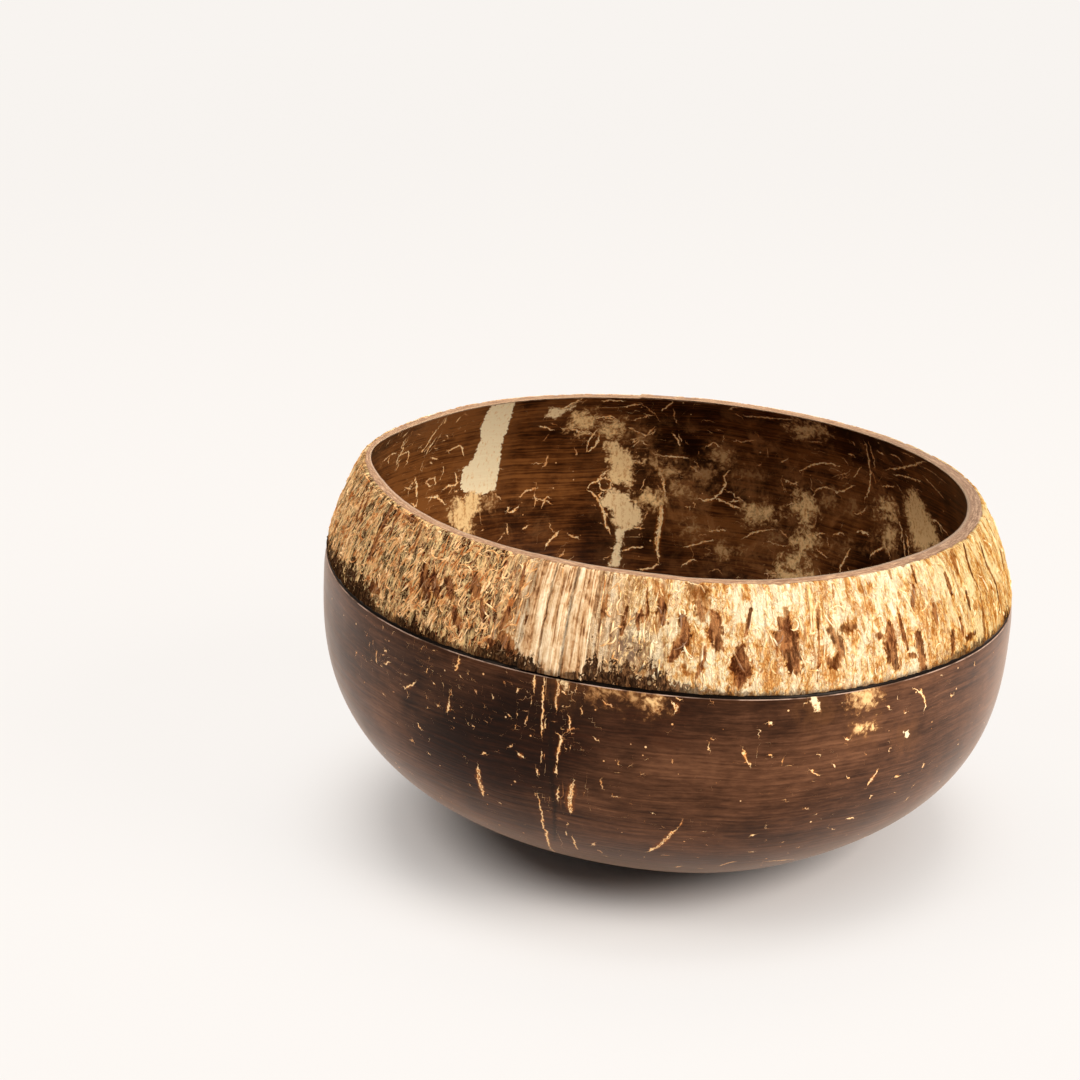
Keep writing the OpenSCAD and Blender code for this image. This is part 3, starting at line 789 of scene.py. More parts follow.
# The hollow's rounded rim: how far down, and inset
for drop, inset in [(0.03, LIP_INSET), (0.12, 0.03), (0.28, 0.0)]:
    add_ring(hollow_ring(top - drop, inset), LIP)
for length in np.linspace(inside.rim_length - LIP_ROUNDING, POLE_GAP, HOLLOW_RINGS):
    add_ring(hollow_ring(inside.height(length), 0.0), HOLLOW)
shell_points = np.concatenate(shell_rings + [
    np.array([[0, 0, -BELLY_DEPTH], [-HOLLOW_OFFSET, 0, -HOLLOW_DEPTH]])
])
zone = np.concatenate(shell_zone + [np.array([BELLY, HOLLOW], float)])
ring_count = len(shell_rings)
shell_faces = [
    ring_quads(ring_count, COLUMNS),
    tip_faces(ring_count * COLUMNS, 0, COLUMNS, False),
    tip_faces(ring_count * COLUMNS + 1, (ring_count - 1) * COLUMNS, COLUMNS, True),
]

# Random marks: how many, from and to which length up the meridian, between which directions, their
# half width and length, what share of them runs upright, and from and to which strength
ledge_length = outside.length(LEDGE_HEIGHT)
belly_end = ledge_length - 1
hollow_end = inside.rim_length - 2
BELLY_RANDOM = [
    (260, 18, belly_end, (-175, -5), 0.10, 0.8, 0.3, (0.35, 0.95)),
    (80, ledge_length - 12, belly_end, (-150, -106), 0.11, 0.9, 0.6, (0.35, 0.8)),
    (330, 5, belly_end, (-8, 188), 0.19, 1.8, 0.4, (0.35, 0.95)),
]
HOLLOW_RANDOM = [
    (130, 30, hollow_end, (-5, 185), 0.13, 2.2, 0.3, (0.35, 0.95)),
    (300, 30, hollow_end, (10, 178), 0.10, 2.2, 0.25, (0.35, 0.65)),
    (110, inside.rim_length - 42, hollow_end, (128, 180), 0.13, 1.9, 0.4, (0.7, 1.0)),
    (260, 5, hollow_end, (175, 365), 0.2, 4.0, 0.35, (0.35, 0.95)),
]
# Random patches: direction, from and to which length up the meridian, width, strength and seed
BELLY_PATCHES = [
    (38, ledge_length - 5, ledge_length, 6, 0.6, 71),
    (96, ledge_length - 8, ledge_length, 4, 0.5, 73),
    (160, ledge_length - 4, ledge_length, 5, 0.7, 75),
]
HOLLOW_PATCHES = [(-150, 62, 92, 9, 0.7, 81), (-95, 58, 90, 7, 0.8, 83), (-38, 66, 95, 9, 0.6, 85)]
belly_marks = marks_of(outside, BELLY_LINE_PIXELS + [BELLY_SEAM])
hollow_marks = marks_of(inside, HOLLOW_LINE_PIXELS, wider=1.15)
for side, marks, rows in ((outside, belly_marks, BELLY_RANDOM), (inside, hollow_marks, HOLLOW_RANDOM)):
    for row in rows:
        marks += random_marks(side, *row)
belly_patches = patches_of(outside, BELLY_PATCH_PIXELS)
belly_patches += [random_patch(outside, *row) for row in BELLY_PATCHES]
hollow_patches = patches_of(inside, HOLLOW_PATCH_PIXELS) + clouds_of(inside, HOLLOW_CLOUD_PIXELS)
hollow_patches += [random_patch(inside, *row) for row in HOLLOW_PATCHES]

LINE_LAYERS = ("lines_a", "lines_b", "lines_c")
is_hollow = zone >= LIP
shell_lines = [np.tile(NO_LINE, (len(shell_points), 1)) for _ in LINE_LAYERS]
shell_patch = np.tile(NO_PATCH, (len(shell_points), 1))
for chosen, marks, patches in (
    (~is_hollow, belly_marks, belly_patches),
    (is_hollow, hollow_marks, hollow_patches),
):
    for held, found in zip(shell_lines, line_fields(marks, shell_points[chosen], len(LINE_LAYERS))):
        held[chosen] = found
    shell_patch[chosen] = patch_field(patches, shell_points[chosen])


def soft_spots(points, side, rows):
    """The sum of spots that fade out: (where in the photo, over how many mm, how strong) each."""
    total = np.zeros(len(points))
    for pixels, reach, much in rows:
        a, length = side.cast([pixels])[0]
        spot = side.at(np.array([a]), np.array([length]))[0]
        total += much * np.exp(-((points - spot) ** 2).sum(1) / reach ** 2)
    return total


# Painted shade and light: where the photo shows the belly, and the hollow, darker than the rest, or
# lighter (strength below 0). On the belly the darker spots are a painted reflection of dark things
# beside the bowl, and the lighter ones painted light and a painted reflection of the floor. In the
# hollow the lighter spots are painted light on its left wall and a painted reflection low on its left.
BELLY_SHADE = [
    ((495, 745), 14, 1.0), ((550, 730), 12, 0.7), ((435, 745), 10, 0.6), ((640, 712), 9, 0.5),
    ((710, 712), 12, 0.5), ((640, 820), 14, -0.5), ((860, 760), 22, -0.6), ((760, 830), 16, -0.4),
]
HOLLOW_SHADE = [
    ((420, 440), 22, -0.9), ((400, 480), 14, -0.6), ((530, 515), 16, -0.5), ((540, 430), 12, 0.3),
    ((700, 560), 14, -0.2), ((820, 530), 16, -0.2),
]
# And where the hollow is full of faint clouds, with a painted reflection low on its left at (525, 520)
HOLLOW_SMOKE_AND_REFLECTION = [
    ((700, 470), 13, 0.8), ((760, 500), 20, 0.9), ((850, 500), 22, 1.0), ((800, 540), 18, 1.0),
    ((640, 450), 10, 0.6), ((525, 520), 10, 0.5),
]
belly_shade = soft_spots(shell_points, outside, BELLY_SHADE)
hollow_shade = soft_spots(shell_points, inside, HOLLOW_SHADE)
hollow_smoke_and_reflection = np.minimum(soft_spots(shell_points, inside, HOLLOW_SMOKE_AND_REFLECTION), 1.0)

# Places for the shell's textures, in mm: the point across, and the length along the meridian upwards
length = np.where(is_hollow, inside.length(shell_points[:, 2]), outside.length(shell_points[:, 2]))
shell_grain = np.column_stack([shell_points[:, :2], length])
for number, inset in enumerate([HUSK_THICKNESS] + RIM_INSETS):
    rows = slice((rim_first - 1 + number) * COLUMNS, (rim_first + number) * COLUMNS)
    shell_grain[rows, 2] = inset

shell_fields = {
    "grain": shell_grain,
    "zone": zone,
    "shade": np.where(is_hollow, hollow_shade, belly_shade),
    "smoke_and_reflection": np.where(is_hollow, hollow_smoke_and_reflection, 0.0),
    **dict(zip(LINE_LAYERS, shell_lines)),
    "patch": shell_patch,
}


# Materials
class Value:
    """A number, place or colour in a material. Sums and products of such values become nodes."""

    def __init__(self, tree, socket):
        self.tree, self.socket = tree, socket

    def __add__(self, other):
        return self.tree.math("ADD", self, other)

    def __sub__(self, other):
        return self.tree.math("SUBTRACT", self, other)

    def __rsub__(self, other):
        return self.tree.math("SUBTRACT", other, self)

    def __mul__(self, other):
        return self.tree.math("MULTIPLY", self, other)

    def __truediv__(self, other):
        return self.tree.math("DIVIDE", self, other)

    def __abs__(self):
        return self.tree.math("ABSOLUTE", self)

    def swing(self, size):
        """A noise, which lies about 0.5, made to lie about 0 and to range over the size."""
        return self.tree.math("MULTIPLY_ADD", self, size, -size / 2)

    def step(self, low, high, first=0.0, last=1.0):
        """A smooth step from the first value at low to the last value at high."""
        names = ("Value", "From Min", "From Max", "To Min", "To Max")
        node, outputs = self.tree.add("ShaderNodeMapRange", dict(zip(names, (self, low, high, first, last))))
        node.interpolation_type = "SMOOTHSTEP"
        return Value(self.tree, outputs["Result"])

    def band(self, low, full, still, end):
        """1 from full to still, and 0 below low and past the end."""
        return self.step(low, full) * self.step(still, end, 1.0, 0.0)


class Tree:
    """Short names for building one material's nodes."""

    def __init__(self, name):
        self.material = bpy.data.materials.new(name)
        self.material.use_nodes = True
        self.nodes = self.material.node_tree.nodes
        self.links = self.material.node_tree.links
        self.shader = self.nodes["Principled BSDF"]

    def feed(self, socket, value):
        """Links a value to a socket, or sets a constant on it."""
        if isinstance(value, Value):
            value = value.socket
        if isinstance(value, bpy.types.NodeSocket):
            self.links.new(value, socket)
        elif isinstance(value, tuple) and len(value) == 3 and socket.type == "RGBA":
            socket.default_value = (*value, 1.0)
        else:
            socket.default_value = value

    def add(self, kind, inputs):
        """A new node with its inputs fed, and its outputs."""
        node = self.nodes.new(kind)
        for name, value in inputs.items():
            self.feed(node.inputs[name], value)
        return node, node.outputs

    def math(self, kind, *values, clamp=False):
        node, outputs = self.add("ShaderNodeMath", dict(enumerate(values)))
        node.operation = kind
        node.use_clamp = clamp
        return Value(self, outputs[0])

    def most(self, first, *others):
        for other in others:
            first = self.math("MAXIMUM", first, other)
        return first

    def vector(self, kind, vector, by=(0.0, 0.0, 0.0), output="Vector"):
        node, outputs = self.add("ShaderNodeVectorMath", {0: vector, 1: by})
        node.operation = kind
        return Value(self, outputs[output])

    def attribute(self, name, output="Vector"):
        node, outputs = self.add("ShaderNodeAttribute", {})
        node.attribute_name = name
        return Value(self, outputs[output])

    def field(self, name):
        return self.attribute(name, "Fac")

    def split(self, vector):
        return [Value(self, part) for part in self.add("ShaderNodeSeparateXYZ", {0: vector})[1]]

    def noise(self, vector, scale, detail=2.0, roughness=0.5, distortion=0.0, stretch=None):
        if stretch:
            vector = self.vector("MULTIPLY", vector, stretch)
        names = ("Vector", "Scale", "Detail", "Roughness", "Distortion")
        values = (vector, scale, detail, roughness, distortion)
        return Value(self, self.add("ShaderNodeTexNoise", dict(zip(names, values)))[1]["Fac"])

    def cells(self, vector, scale, output="Distance"):
        inputs = {"Vector": vector, "Scale": scale, "Randomness": 1.0}
        return Value(self, self.add("ShaderNodeTexVoronoi", inputs)[1][output])

    def mix(self, share, one, two, kind="MIX"):
        node = self.nodes.new("ShaderNodeMix")
        node.data_type = "RGBA"
        node.blend_type = kind
        self.feed(node.inputs["Factor"], share)
        for name, value in (("A", one), ("B", two)):
            socket = [s for s in node.inputs if s.name == name and s.type == "RGBA"][0]
            self.feed(socket, value)
        return Value(self, [s for s in node.outputs if s.type == "RGBA"][0])

    def coats(self, base, *coats):
        """Coats of colour over a base, each given as a share and a colour."""
        for share, *tint in coats:
            base = self.mix(share, base, colour(*tint))
        return base

    def dim(self, share, base, *factors):
        """The base multiplied by a factor for each of red, green and blue."""
        return self.mix(share, base, factors, "MULTIPLY")

    def ramp(self, share, *stops):
        """Colours along a share from 0 to 1, each stop given as a place and a colour."""
        node, outputs = self.add("ShaderNodeValToRGB", {"Fac": share})
        marks = node.color_ramp.elements
        while len(marks) < len(stops):
            marks.new(0.5)
        for mark, (place, *tint) in zip(marks, stops):
            mark.position = place
            mark.color = (*colour(*tint), 1.0)
        return Value(self, outputs["Color"])

    def finish(self, base, roughness, specular, height=None, strength=1.0, distance=0.0):
        """Sets the shader's sockets. A height makes a bump, at a distance in metres."""
        self.feed(self.shader.inputs["Base Color"], base)
        self.feed(self.shader.inputs["Roughness"], roughness)
        self.shader.inputs["Specular IOR Level"].default_value = specular
        if height:
            inputs = {"Strength": strength, "Distance": distance, "Height": height}
            bump = self.add("ShaderNodeBump", inputs)[1]["Normal"]
            self.feed(self.shader.inputs["Normal"], bump)
        return self.material


def colour(red, green, blue):
    """A colour written as it shows, from 0 to 255, turned into linear light."""
    parts = [c / 255 for c in (red, green, blue)]
    return tuple(c / 12.92 if c <= 0.04045 else ((c + 0.055) / 1.055) ** 2.4 for c in parts)


def shell_material():
    t = Tree("coconut_shell")
    grain = t.attribute("grain")
    zone = t.field("zone")
    x, y, along = t.split(grain)
    in_hollow = zone.step(1.7, 1.9)
    on_outside = 1.0 - in_hollow
    on_rim = zone.step(0.6, 0.8) * on_outside

    # Turning lines: fine rings round the axis, which wander a little
    wander = t.noise(grain, 1.0, stretch=(0.05, 0.05, 0.05))
    ringed = t.add("ShaderNodeCombineXYZ", {0: x * 0.02, 1: y * 0.02, 2: along + wander * 2.5})[1][0]
    turning = t.noise(ringed, 0.9, 3.0, 0.7)
    turning_fine = t.noise(ringed, 2.1, 2.0, 0.6)

    # The shell's own colour: broad dark and warm clouds under the turning lines, with painted shade, light
    # and reflection from the shade field laid over it
    clouds = t.noise(grain, 0.03, 4.0, 0.55, 0.5, stretch=(1.0, 1.0, 1.5))
    blotches = t.noise(grain, 0.16, 4.0, 0.6)
    streaks = t.noise(grain, 1.5, 3.0, 0.7, stretch=(0.2, 0.2, 1.0))
    shade = t.field("shade")
    tone = (clouds - 0.5) + (blotches - 0.5) * 0.45
    tone = tone * (in_hollow * 0.35 + 0.45) + 0.5 + turning.swing(0.24)
    tone = tone + (turning_fine - 0.5) * (in_hollow * 0.26 + 0.24) + streaks.swing(0.28)
    # Painted shade and light: the shade field darkens the tone where it is above 0 and lightens it below 0
    tone = tone - shade * (in_hollow * 0.10 + 0.06)
    on_belly = t.ramp(tone, (0.34, 37, 17, 7), (0.45, 63, 36, 20), (0.55, 90, 56, 36), (0.68, 121, 80, 54))
    inner = t.ramp(tone, (0.34, 30, 12, 3), (0.45, 58, 28, 9), (0.55, 94, 52, 22), (0.68, 132, 80, 38))
    base = t.mix(in_hollow, on_belly, inner)
    # Painted reflection: the belly's darker spots are dimmed further, standing in for dark things reflected
    # in it
    painted_dark_reflection = (shade + turning.swing(0.9) + clouds.swing(1.6)).step(0.15, 1.0) * on_outside
    base = t.dim(painted_dark_reflection, base, 0.34, 0.22, 0.14)

    # Marks: lines, patches and specks of pale fibre in the dark shell
    ragged = t.noise(grain, 1.6, 3.0, 0.6)
    fine = t.noise(grain, 5.0, 2.0, 0.6)
    wobble = t.noise(grain, 0.8, 2.0, 0.6, 0.5).swing(1.5)
    marked, rimmed, darkened = 0.0, 0.0, 0.0
    for name in LINE_LAYERS:
        across, wide, strength = t.split(t.attribute(name))
        edge = abs(across + wobble / wide) + ragged * 2.0 - 0.9 + fine.swing(1.4)
        shown = abs(across * wide).step(0.9, 1.3, 1.0, 0.0) * strength
        ring = 1.0 - wide.step(0.24, 0.34) * edge.step(0.20, 0.55, 0.75, 0.0) * on_outside
        marked = t.most(marked, edge.step(0.55, 1.05, 1.0, 0.0) * ring * shown)
        rimmed = t.most(rimmed, edge.step(0.9, 2.6, 1.0, 0.0) * shown)
        darkened = t.most(darkened, edge.step(0.2, 1.6, -1.0, 0.0) * shown)
    depth, strength, softness = t.split(t.attribute("patch"))
    wisp = t.noise(grain, 0.8, 3.0, 0.55, 0.8)
    billow = t.noise(grain, 0.36, 6.0, 0.72, 0.4).swing(13.0)
    reached = depth + (wisp - 0.5) * (softness * 8.0 + 1.2) + ragged.swing(1.6) + billow * softness
    fade = softness * 2.2 + 0.12
    patched = t.math("DIVIDE", reached + fade, fade * 2.0, clamp=True) * strength
    near_patch = (depth + billow).step(-5.0, 0.5) * strength * 0.30
    smoke_and_reflection = t.noise(grain, 0.17, 6.0, 0.70, 0.5, stretch=(1.0, 1.0, 0.8))
    # This field also holds a painted reflection low on the hollow's left
    smoky_and_reflection = smoke_and_reflection.step(0.47, 0.68) * t.field("smoke_and_reflection")
    speck_size = t.split(t.cells(grain, 0.42, "Color"))[0].step(0.45, 1.0) * 0.10
    marked = t.most(marked, (speck_size - t.cells(grain, 0.42)).step(-0.02, 0.03) * 0.6)
    pale_tone = t.noise(grain, 1.6, 4.0, 0.7, stretch=(1.0, 1.0, 0.25)) * 0.6 + ragged * 0.4
    pale = t.ramp(pale_tone, (0.30, 188, 128, 74), (0.38, 244, 204, 146), (0.46, 255, 234, 190))
    cloud = t.ramp(pale_tone, (0.30, 158, 96, 48), (0.40, 220, 160, 98), (0.50, 255, 214, 150))
    line_pale = t.ramp(pale_tone, (0.34, 212, 126, 62), (0.44, 255, 196, 124), (0.55, 255, 228, 176))
    base = t.coats(
        base, (smoky_and_reflection * 0.7, 170, 114, 66), (darkened, 26, 12, 5), (near_patch, 132, 84, 46),
        (rimmed * 0.55, 138, 74, 30), (marked.step(0.0, 0.5), 190, 112, 52),
    )
    base = t.mix(marked.step(0.2, 0.8), base, line_pale)
    base = t.coats(base, (patched.step(0.0, 0.45), 150, 98, 54))
    base = t.mix(patched.step(0.15, 0.80), base, t.mix(softness * 2.2, pale, cloud))
    marked = t.most(marked, patched)

    # The sawn rim with painted shade on its right part, its lip, a painted highlight on the pale edge under
    # the groove, and painted shade in the groove's dark bottom
    saw = t.noise(grain, 3.0, 4.0, 0.75, stretch=(0.10, 0.10, 1.0)) * 0.7
    saw = saw + t.noise(grain, 1.2, 3.0, 0.7) * 0.3
    rim_colour = t.ramp(saw, (0.38, 108, 73, 50), (0.50, 148, 111, 82), (0.60, 198, 160, 123))
    base = t.mix(on_rim, base, rim_colour)
    # Painted shade: the rim's right part is dimmed
    base = t.dim(on_rim * x.step(30.0, 60.0), base, 0.72, 0.76, 0.84)
    lip = zone.band(1.1, 1.35, 1.5, 1.8) * saw.step(0.44, 0.52)
    # Painted highlight on the belly's rounded edge under the groove
    ledge_painted_highlight = zone.band(0.05, 0.22, 0.28, 0.45) * t.noise(grain, 0.12, 3.0, 0.6).step(0.40, 0.55, 0.15, 0.9)
    # Painted shade in the groove's bottom
    groove_painted_shade = zone.band(0.3, 0.45, 0.55, 0.7)
    base = t.coats(base, (lip, 214, 182, 148), (ledge_painted_highlight, 196, 164, 144), (groove_painted_shade, 16, 9, 6))

    # A painted sheen: the polished shell's colour lightened where it is seen at a flat angle
    facing = t.add("ShaderNodeLayerWeight", {"Blend": 0.5})[1]["Facing"]
    painted_sheen_share = t.math("POWER", facing, 5.0) * on_outside
    base = t.coats(base, (painted_sheen_share * 0.55, 212, 180, 156))

    polish = t.noise(grain, 0.12, 3.0) * 0.16 + turning * 0.14 + marked * 0.14 + on_rim * 0.3
    relief = turning * 0.8 + turning_fine * 0.35 - marked * 0.25
    t.shader.inputs["Specular Tint"].default_value = (1.0, 0.80, 0.64, 1.0)
    return t.finish(base, t.math("ADD", polish, 0.20, clamp=True), 0.12, relief, 0.5, 0.00015)


SPOT_LAYERS = ("spots_a", "spots_b")


def husk_material(name, pale_only=False):
    """Raw husk fibre, or the seam's pale strands only."""
    t = Tree(name)
    grain = t.attribute("grain")
    side, scorch, burn = t.field("side"), t.field("scorch"), t.field("burn")

    def fibres(squeeze, *settings):
        """Noise that is drawn out up the meridian: a squeeze of 0.2 makes it five times as long."""
        return t.noise(grain, *settings, stretch=(1.0, 1.0, squeeze))

    def winding(squeeze, scale, thin, bend):
        """Thin winding lines, and a second line beside each, coloured as painted shadow on the left and
        golden on the right: 1 on a line and 0 off it.
        """
        field = fibres(squeeze, scale, 1.0, 0.5, bend)
        return [abs(field - middle).step(0.0, thin, 1.0, 0.0) for middle in (0.5, 0.5 + 1.5 * thin)]

    fibre = fibres(0.22, 0.9, 2.0, 0.6, 0.4)
    fibre_fine = fibres(0.22, 3.0, 3.0, 0.75, 0.5)
    crumb = fibres(0.7, 1.1, 1.5, 0.6, 1.0)
    clump = fibres(0.5, 0.5, 2.0, 0.5, 0.8)
    height = fibres(0.05, 1.0, 3.0, 0.6, 0.25) * 0.6 + fibres(0.05, 2.5, 1.0, 0.5, 0.2) * 0.4
    height = height + clump.swing(0.26) + crumb.swing(0.24) + fibre.swing(0.06)
    base = pale = t.ramp(
        height, (0.36, 110, 70, 42), (0.44, 186, 138, 92), (0.53, 224, 188, 144), (0.65, 252, 228, 190),
    )
    if not pale_only:
        mottle = fibres(0.5, 0.20, 4.0, 0.65, 0.8)
        curl, curl_shade_gold = winding(0.6, 0.55, 0.040, 1.8)
        curl_fine, curl_fine_shade_gold = winding(0.5, 1.2, 0.065, 1.4)
        straight, straight_shade_gold = winding(0.22, 0.75, 0.055, 0.5)
        threaded = t.most(curl, curl_fine * 0.7, straight * 0.8)
        painted_shadow_and_gold_lines = t.most(curl_shade_gold, curl_fine_shade_gold, straight_shade_gold)
        bright = fibre.swing(0.9) + clump.swing(0.8) + crumb.swing(0.5) + fibre_fine.swing(0.4) + 0.5
        height = bright + threaded * 0.30 - 0.10

        # The right of the husk is bright and cream, and the left is darker and more fibrous
        right = t.ramp(
            bright - fibre.swing(0.5) + crumb.swing(0.5),
            (0.22, 168, 102, 46), (0.36, 222, 164, 94), (0.48, 248, 208, 144), (0.62, 255, 236, 194),
        )
        # Golden lines beside the curls, the husk's own colour
        right = t.coats(right, (painted_shadow_and_gold_lines * mottle.step(0.40, 0.58, 0.35, 0.85), 190, 122, 58))
        left = t.ramp(
            bright - fibre_fine.swing(0.25) + clump.swing(0.4),
            (0.38, 62, 25, 13), (0.45, 116, 59, 32), (0.51, 184, 113, 67), (0.58, 248, 190, 131),
        )
        # Painted shadow beside each curl
        left = t.coats(left, (painted_shadow_and_gold_lines * 0.9, 70, 31, 16))
        stained = fibres(0.16, 0.42, 3.0, 0.6, 0.6)
        left = t.dim(stained.step(0.54, 0.62, 0.0, 0.85), left, 0.44, 0.31, 0.27)
        left = t.dim(mottle.step(0.52, 0.40, 0.0, 0.5), left, 0.80, 0.66, 0.55)
        left = t.coats(left, (threaded * bright.step(0.30, 0.46, 0.5, 1.0), 255, 218, 154))
        base = t.mix(side, right, left)

        # Golden, cream and grey places, the seam's pale fibre and the brown spots
        golden = mottle.step(0.44, 0.62) * crumb.step(0.64, 0.40, 0.7, 0.1)
        base = t.dim(golden, base, 0.72, 0.52, 0.33)
        creamy = mottle.step(0.50, 0.38) * (1.0 - side) * 0.6
        grey = t.field("grey") * crumb.step(0.58, 0.44, 0.1, 0.9) * 0.8
        base = t.coats(base, (creamy, 255, 238, 200), (grey, 128, 102, 82))
        base = t.mix(t.field("seam") * fibre.step(0.40, 0.52, 0.75, 1.0), base, pale)
        spotted = 0.0
        for key in SPOT_LAYERS:
            across, _, strength = t.split(t.attribute(key))
            edge = across + fibre.swing(2.0) + crumb.swing(2.0)
            spotted = t.most(spotted, edge.step(0.5, 1.7, 1.0, 0.0) * strength)
        base = t.dim(spotted.step(0.0, 0.5), base, 0.80, 0.60, 0.40)
        spot_colour = t.ramp(bright, (0.30, 62, 28, 15), (0.46, 112, 64, 38), (0.60, 172, 112, 66))
        base = t.mix(spotted.step(0.25, 0.80, 0.0, 0.92), base, spot_colour)

    # Painted shadow beside and between the strands, and the scorched lower edge with pale knots in it
    between = t.field("gap") * fibre_fine.step(0.62, 0.42, 0.5, 1.0)
    uneven = fibres(0.5, 0.55, 4.0, 0.7, 0.6).swing(4.8) + crumb.swing(2.4)
    burnt_edge = scorch + uneven * burn
    burnt = burnt_edge.step(-0.1, 0.35) * burn.step(0.5, 2.0, 0.45, 0.97)
    base = t.coats(base, (between, 70, 40, 24), (burnt_edge.step(-0.8, 0.3) * 0.5, 92, 54, 30))
    rough = fibre_fine * 0.5 + crumb * 0.5
    char = t.ramp(rough, (0.42, 40, 24, 14), (0.52, 82, 53, 34), (0.62, 150, 106, 68))
    base = t.mix(burnt, base, t.dim(side * 0.7, char, 0.18, 0.15, 0.13))
    knot = 0.24 - t.cells(t.vector("MULTIPLY", grain, (1.0, 1.0, 0.8)), 0.62)
    knot = knot.step(-0.03, 0.08) * t.cells(grain, 0.62).step(0.9, 0.2) * burnt
    knot = knot * burn.step(2.4, 3.4, 0.0, 0.85) * (1.0 - side)
    base = t.coats(base, (knot, 226, 186, 138))
    base = t.dim(t.split(grain)[0].step(40.0, 62.0), base, 0.82, 0.76, 0.58)
    return t.finish(base, 0.85, 0.0, height, 1.0, 0.0006)


def thread_material():
    """The loose curled threads: cream on the bowl's right, gold on its left, and brown on the spots."""
    t = Tree("husk_thread")
    drawn = t.noise(t.attribute("grain"), 0.45, 3.0, 0.6)
    creamy = t.ramp(drawn, (0.38, 226, 170, 104), (0.48, 248, 208, 148), (0.60, 255, 232, 190))
    golden = t.ramp(drawn, (0.38, 176, 106, 54), (0.48, 226, 168, 106), (0.60, 252, 212, 158))
    base = t.mix(t.field("side").step(0.2, 0.8), creamy, golden)
    for key in SPOT_LAYERS:
        across, _, strength = t.split(t.attribute(key))
        spotted = across.step(0.7, 1.3, 1.0, 0.0) * strength
        base = t.coats(base, (spotted.step(0.2, 0.9, 0.0, 0.85), 118, 66, 40))
    base = t.coats(base, (t.field("scorch").step(-0.6, 0.4, 0.0, 0.92), 52, 30, 17))
    return t.finish(base, 0.7, 0.05)


# The husk band: a rough band with a ragged lower edge and a chipped upper one
HUSK_COLUMNS = 1240
HUSK_RINGS = 66
HUSK_SHIFT = 0.0013
husk_turns = np.linspace(-math.pi, math.pi, HUSK_COLUMNS, endpoint=False) + HUSK_SHIFT
# The middle of the husk's darker, more fibrous part, and how far from it that part ends and is full
LEFT_MIDDLE = -145
LEFT_END, LEFT_FULL = 62, 26


def left_share(a):
    """How far a direction lies in the husk's darker, more fibrous part, from 0 to 1."""
    away = np.abs((np.degrees(a) - LEFT_MIDDLE + 180) % 360 - 180)
    return smooth_step(away, LEFT_END, LEFT_FULL)


# The scorched edge on the hidden side: its mean height and its unevenness in mm, and over how many
# radians it blends into what the photo shows
HIDDEN_SCORCH = 1.1
HIDDEN_UNEVENNESS = 1.3
HIDDEN_BLEND = 0.1


def scorch_height(a):
    """How high the scorched edge reaches above the husk's lower edge, in mm."""
    xs, tall = zip(*SCORCH_PIXELS)
    levels = np.interp(xs, *zip(*GROOVE_PIXELS))
    # A few pixels above the groove the husk itself is met
    seen = outside.cast(list(zip(xs, levels - 4)))[:, 0]
    tall = np.array(tall) * outside.mm_per_pixel
    hidden = HIDDEN_SCORCH + HIDDEN_UNEVENNESS * layered(around(a, 9), 205)
    order = np.argsort(seen)
    known = np.interp(a, seen[order], tall[order])
    share = smooth_step(a, seen.min() - HIDDEN_BLEND, seen.min())
    share = share * smooth_step(a, seen.max() + HIDDEN_BLEND, seen.max())
    return known * share + hidden * (1 - share)


def wrapped(a, length):
    """Places for the husk's fibres, in mm, in which a fibre up the meridian runs straight up."""
    return around(a, BODY_RADIUS, length)


# The husk's relief in mm: bundles of fibres (and how much more of them on the left), single fibres
# and lumps
BUNDLES, LEFT_BUNDLES, FIBRES, LUMPS = 0.07, 0.05, 0.06, 0.07


def husk_relief(length, a):
    """How far the rough husk stands out of its mean surface, in mm."""
    place = wrapped(a, length)
    drawn_out = place * np.array([1.0, 1.0, 0.24])
    bundles = layered(drawn_out * 0.5, 11)
    fibres = layered(drawn_out * 1.7, 23, 3)
    lumps = layered(place * np.array([0.33, 0.33, 0.23]), 37, 3)
    return (BUNDLES + LEFT_BUNDLES * left_share(a)) * bundles + FIBRES * fibres + LUMPS * lumps


def inset_ring(level, inset):
    return around(husk_turns, natural(husk_turns, level) - inset, level)


# How deep the chips along its upper edge are, how high and how uneven its lower edge is above the
# solid's, and how much both edges are rounded
CHIP_DEPTH = 0.45
LOWER_LIFT = 0.2
LOWER_RAGGED = 0.22
LOWER_ROUNDING = 0.22
UPPER_ROUNDING = 0.10
# The surface's mean depth under the solid's, which the relief makes up for
MEAN_DEPTH = 0.1
# The roundings' last steps: how far below the husk's top its rough face ends, the inset of the ring
# over the rim, and the inset and the drop of the ring under the lower edge
TOP_DROP, TOP_INSET = 0.06, 0.3
UNDER_INSET, UNDER_DROP = 0.42, 0.08
chips = CHIP_DEPTH * smooth_step(layered(around(husk_turns, 34, 3.7), 77), 0.1, 1.1)
husk_top = rim_top(husk_turns) - chips
raggedness = np.clip(layered(around(husk_turns, 60), 51), -0.5, 1.2)
lower_edge = HUSK_EDGE_HEIGHT + LOWER_LIFT + LOWER_RAGGED * raggedness
husk_rings = []
for share in np.linspace(0, 1, HUSK_RINGS):
    level = lower_edge + share * (husk_top - TOP_DROP - lower_edge)
    rounding = LOWER_ROUNDING * np.exp(-share * 40) + UPPER_ROUNDING * np.exp(-(1 - share) * 60)
    relief = husk_relief(outside.length(level), husk_turns)
    husk_rings.append(inset_ring(level, MEAN_DEPTH + rounding - relief))
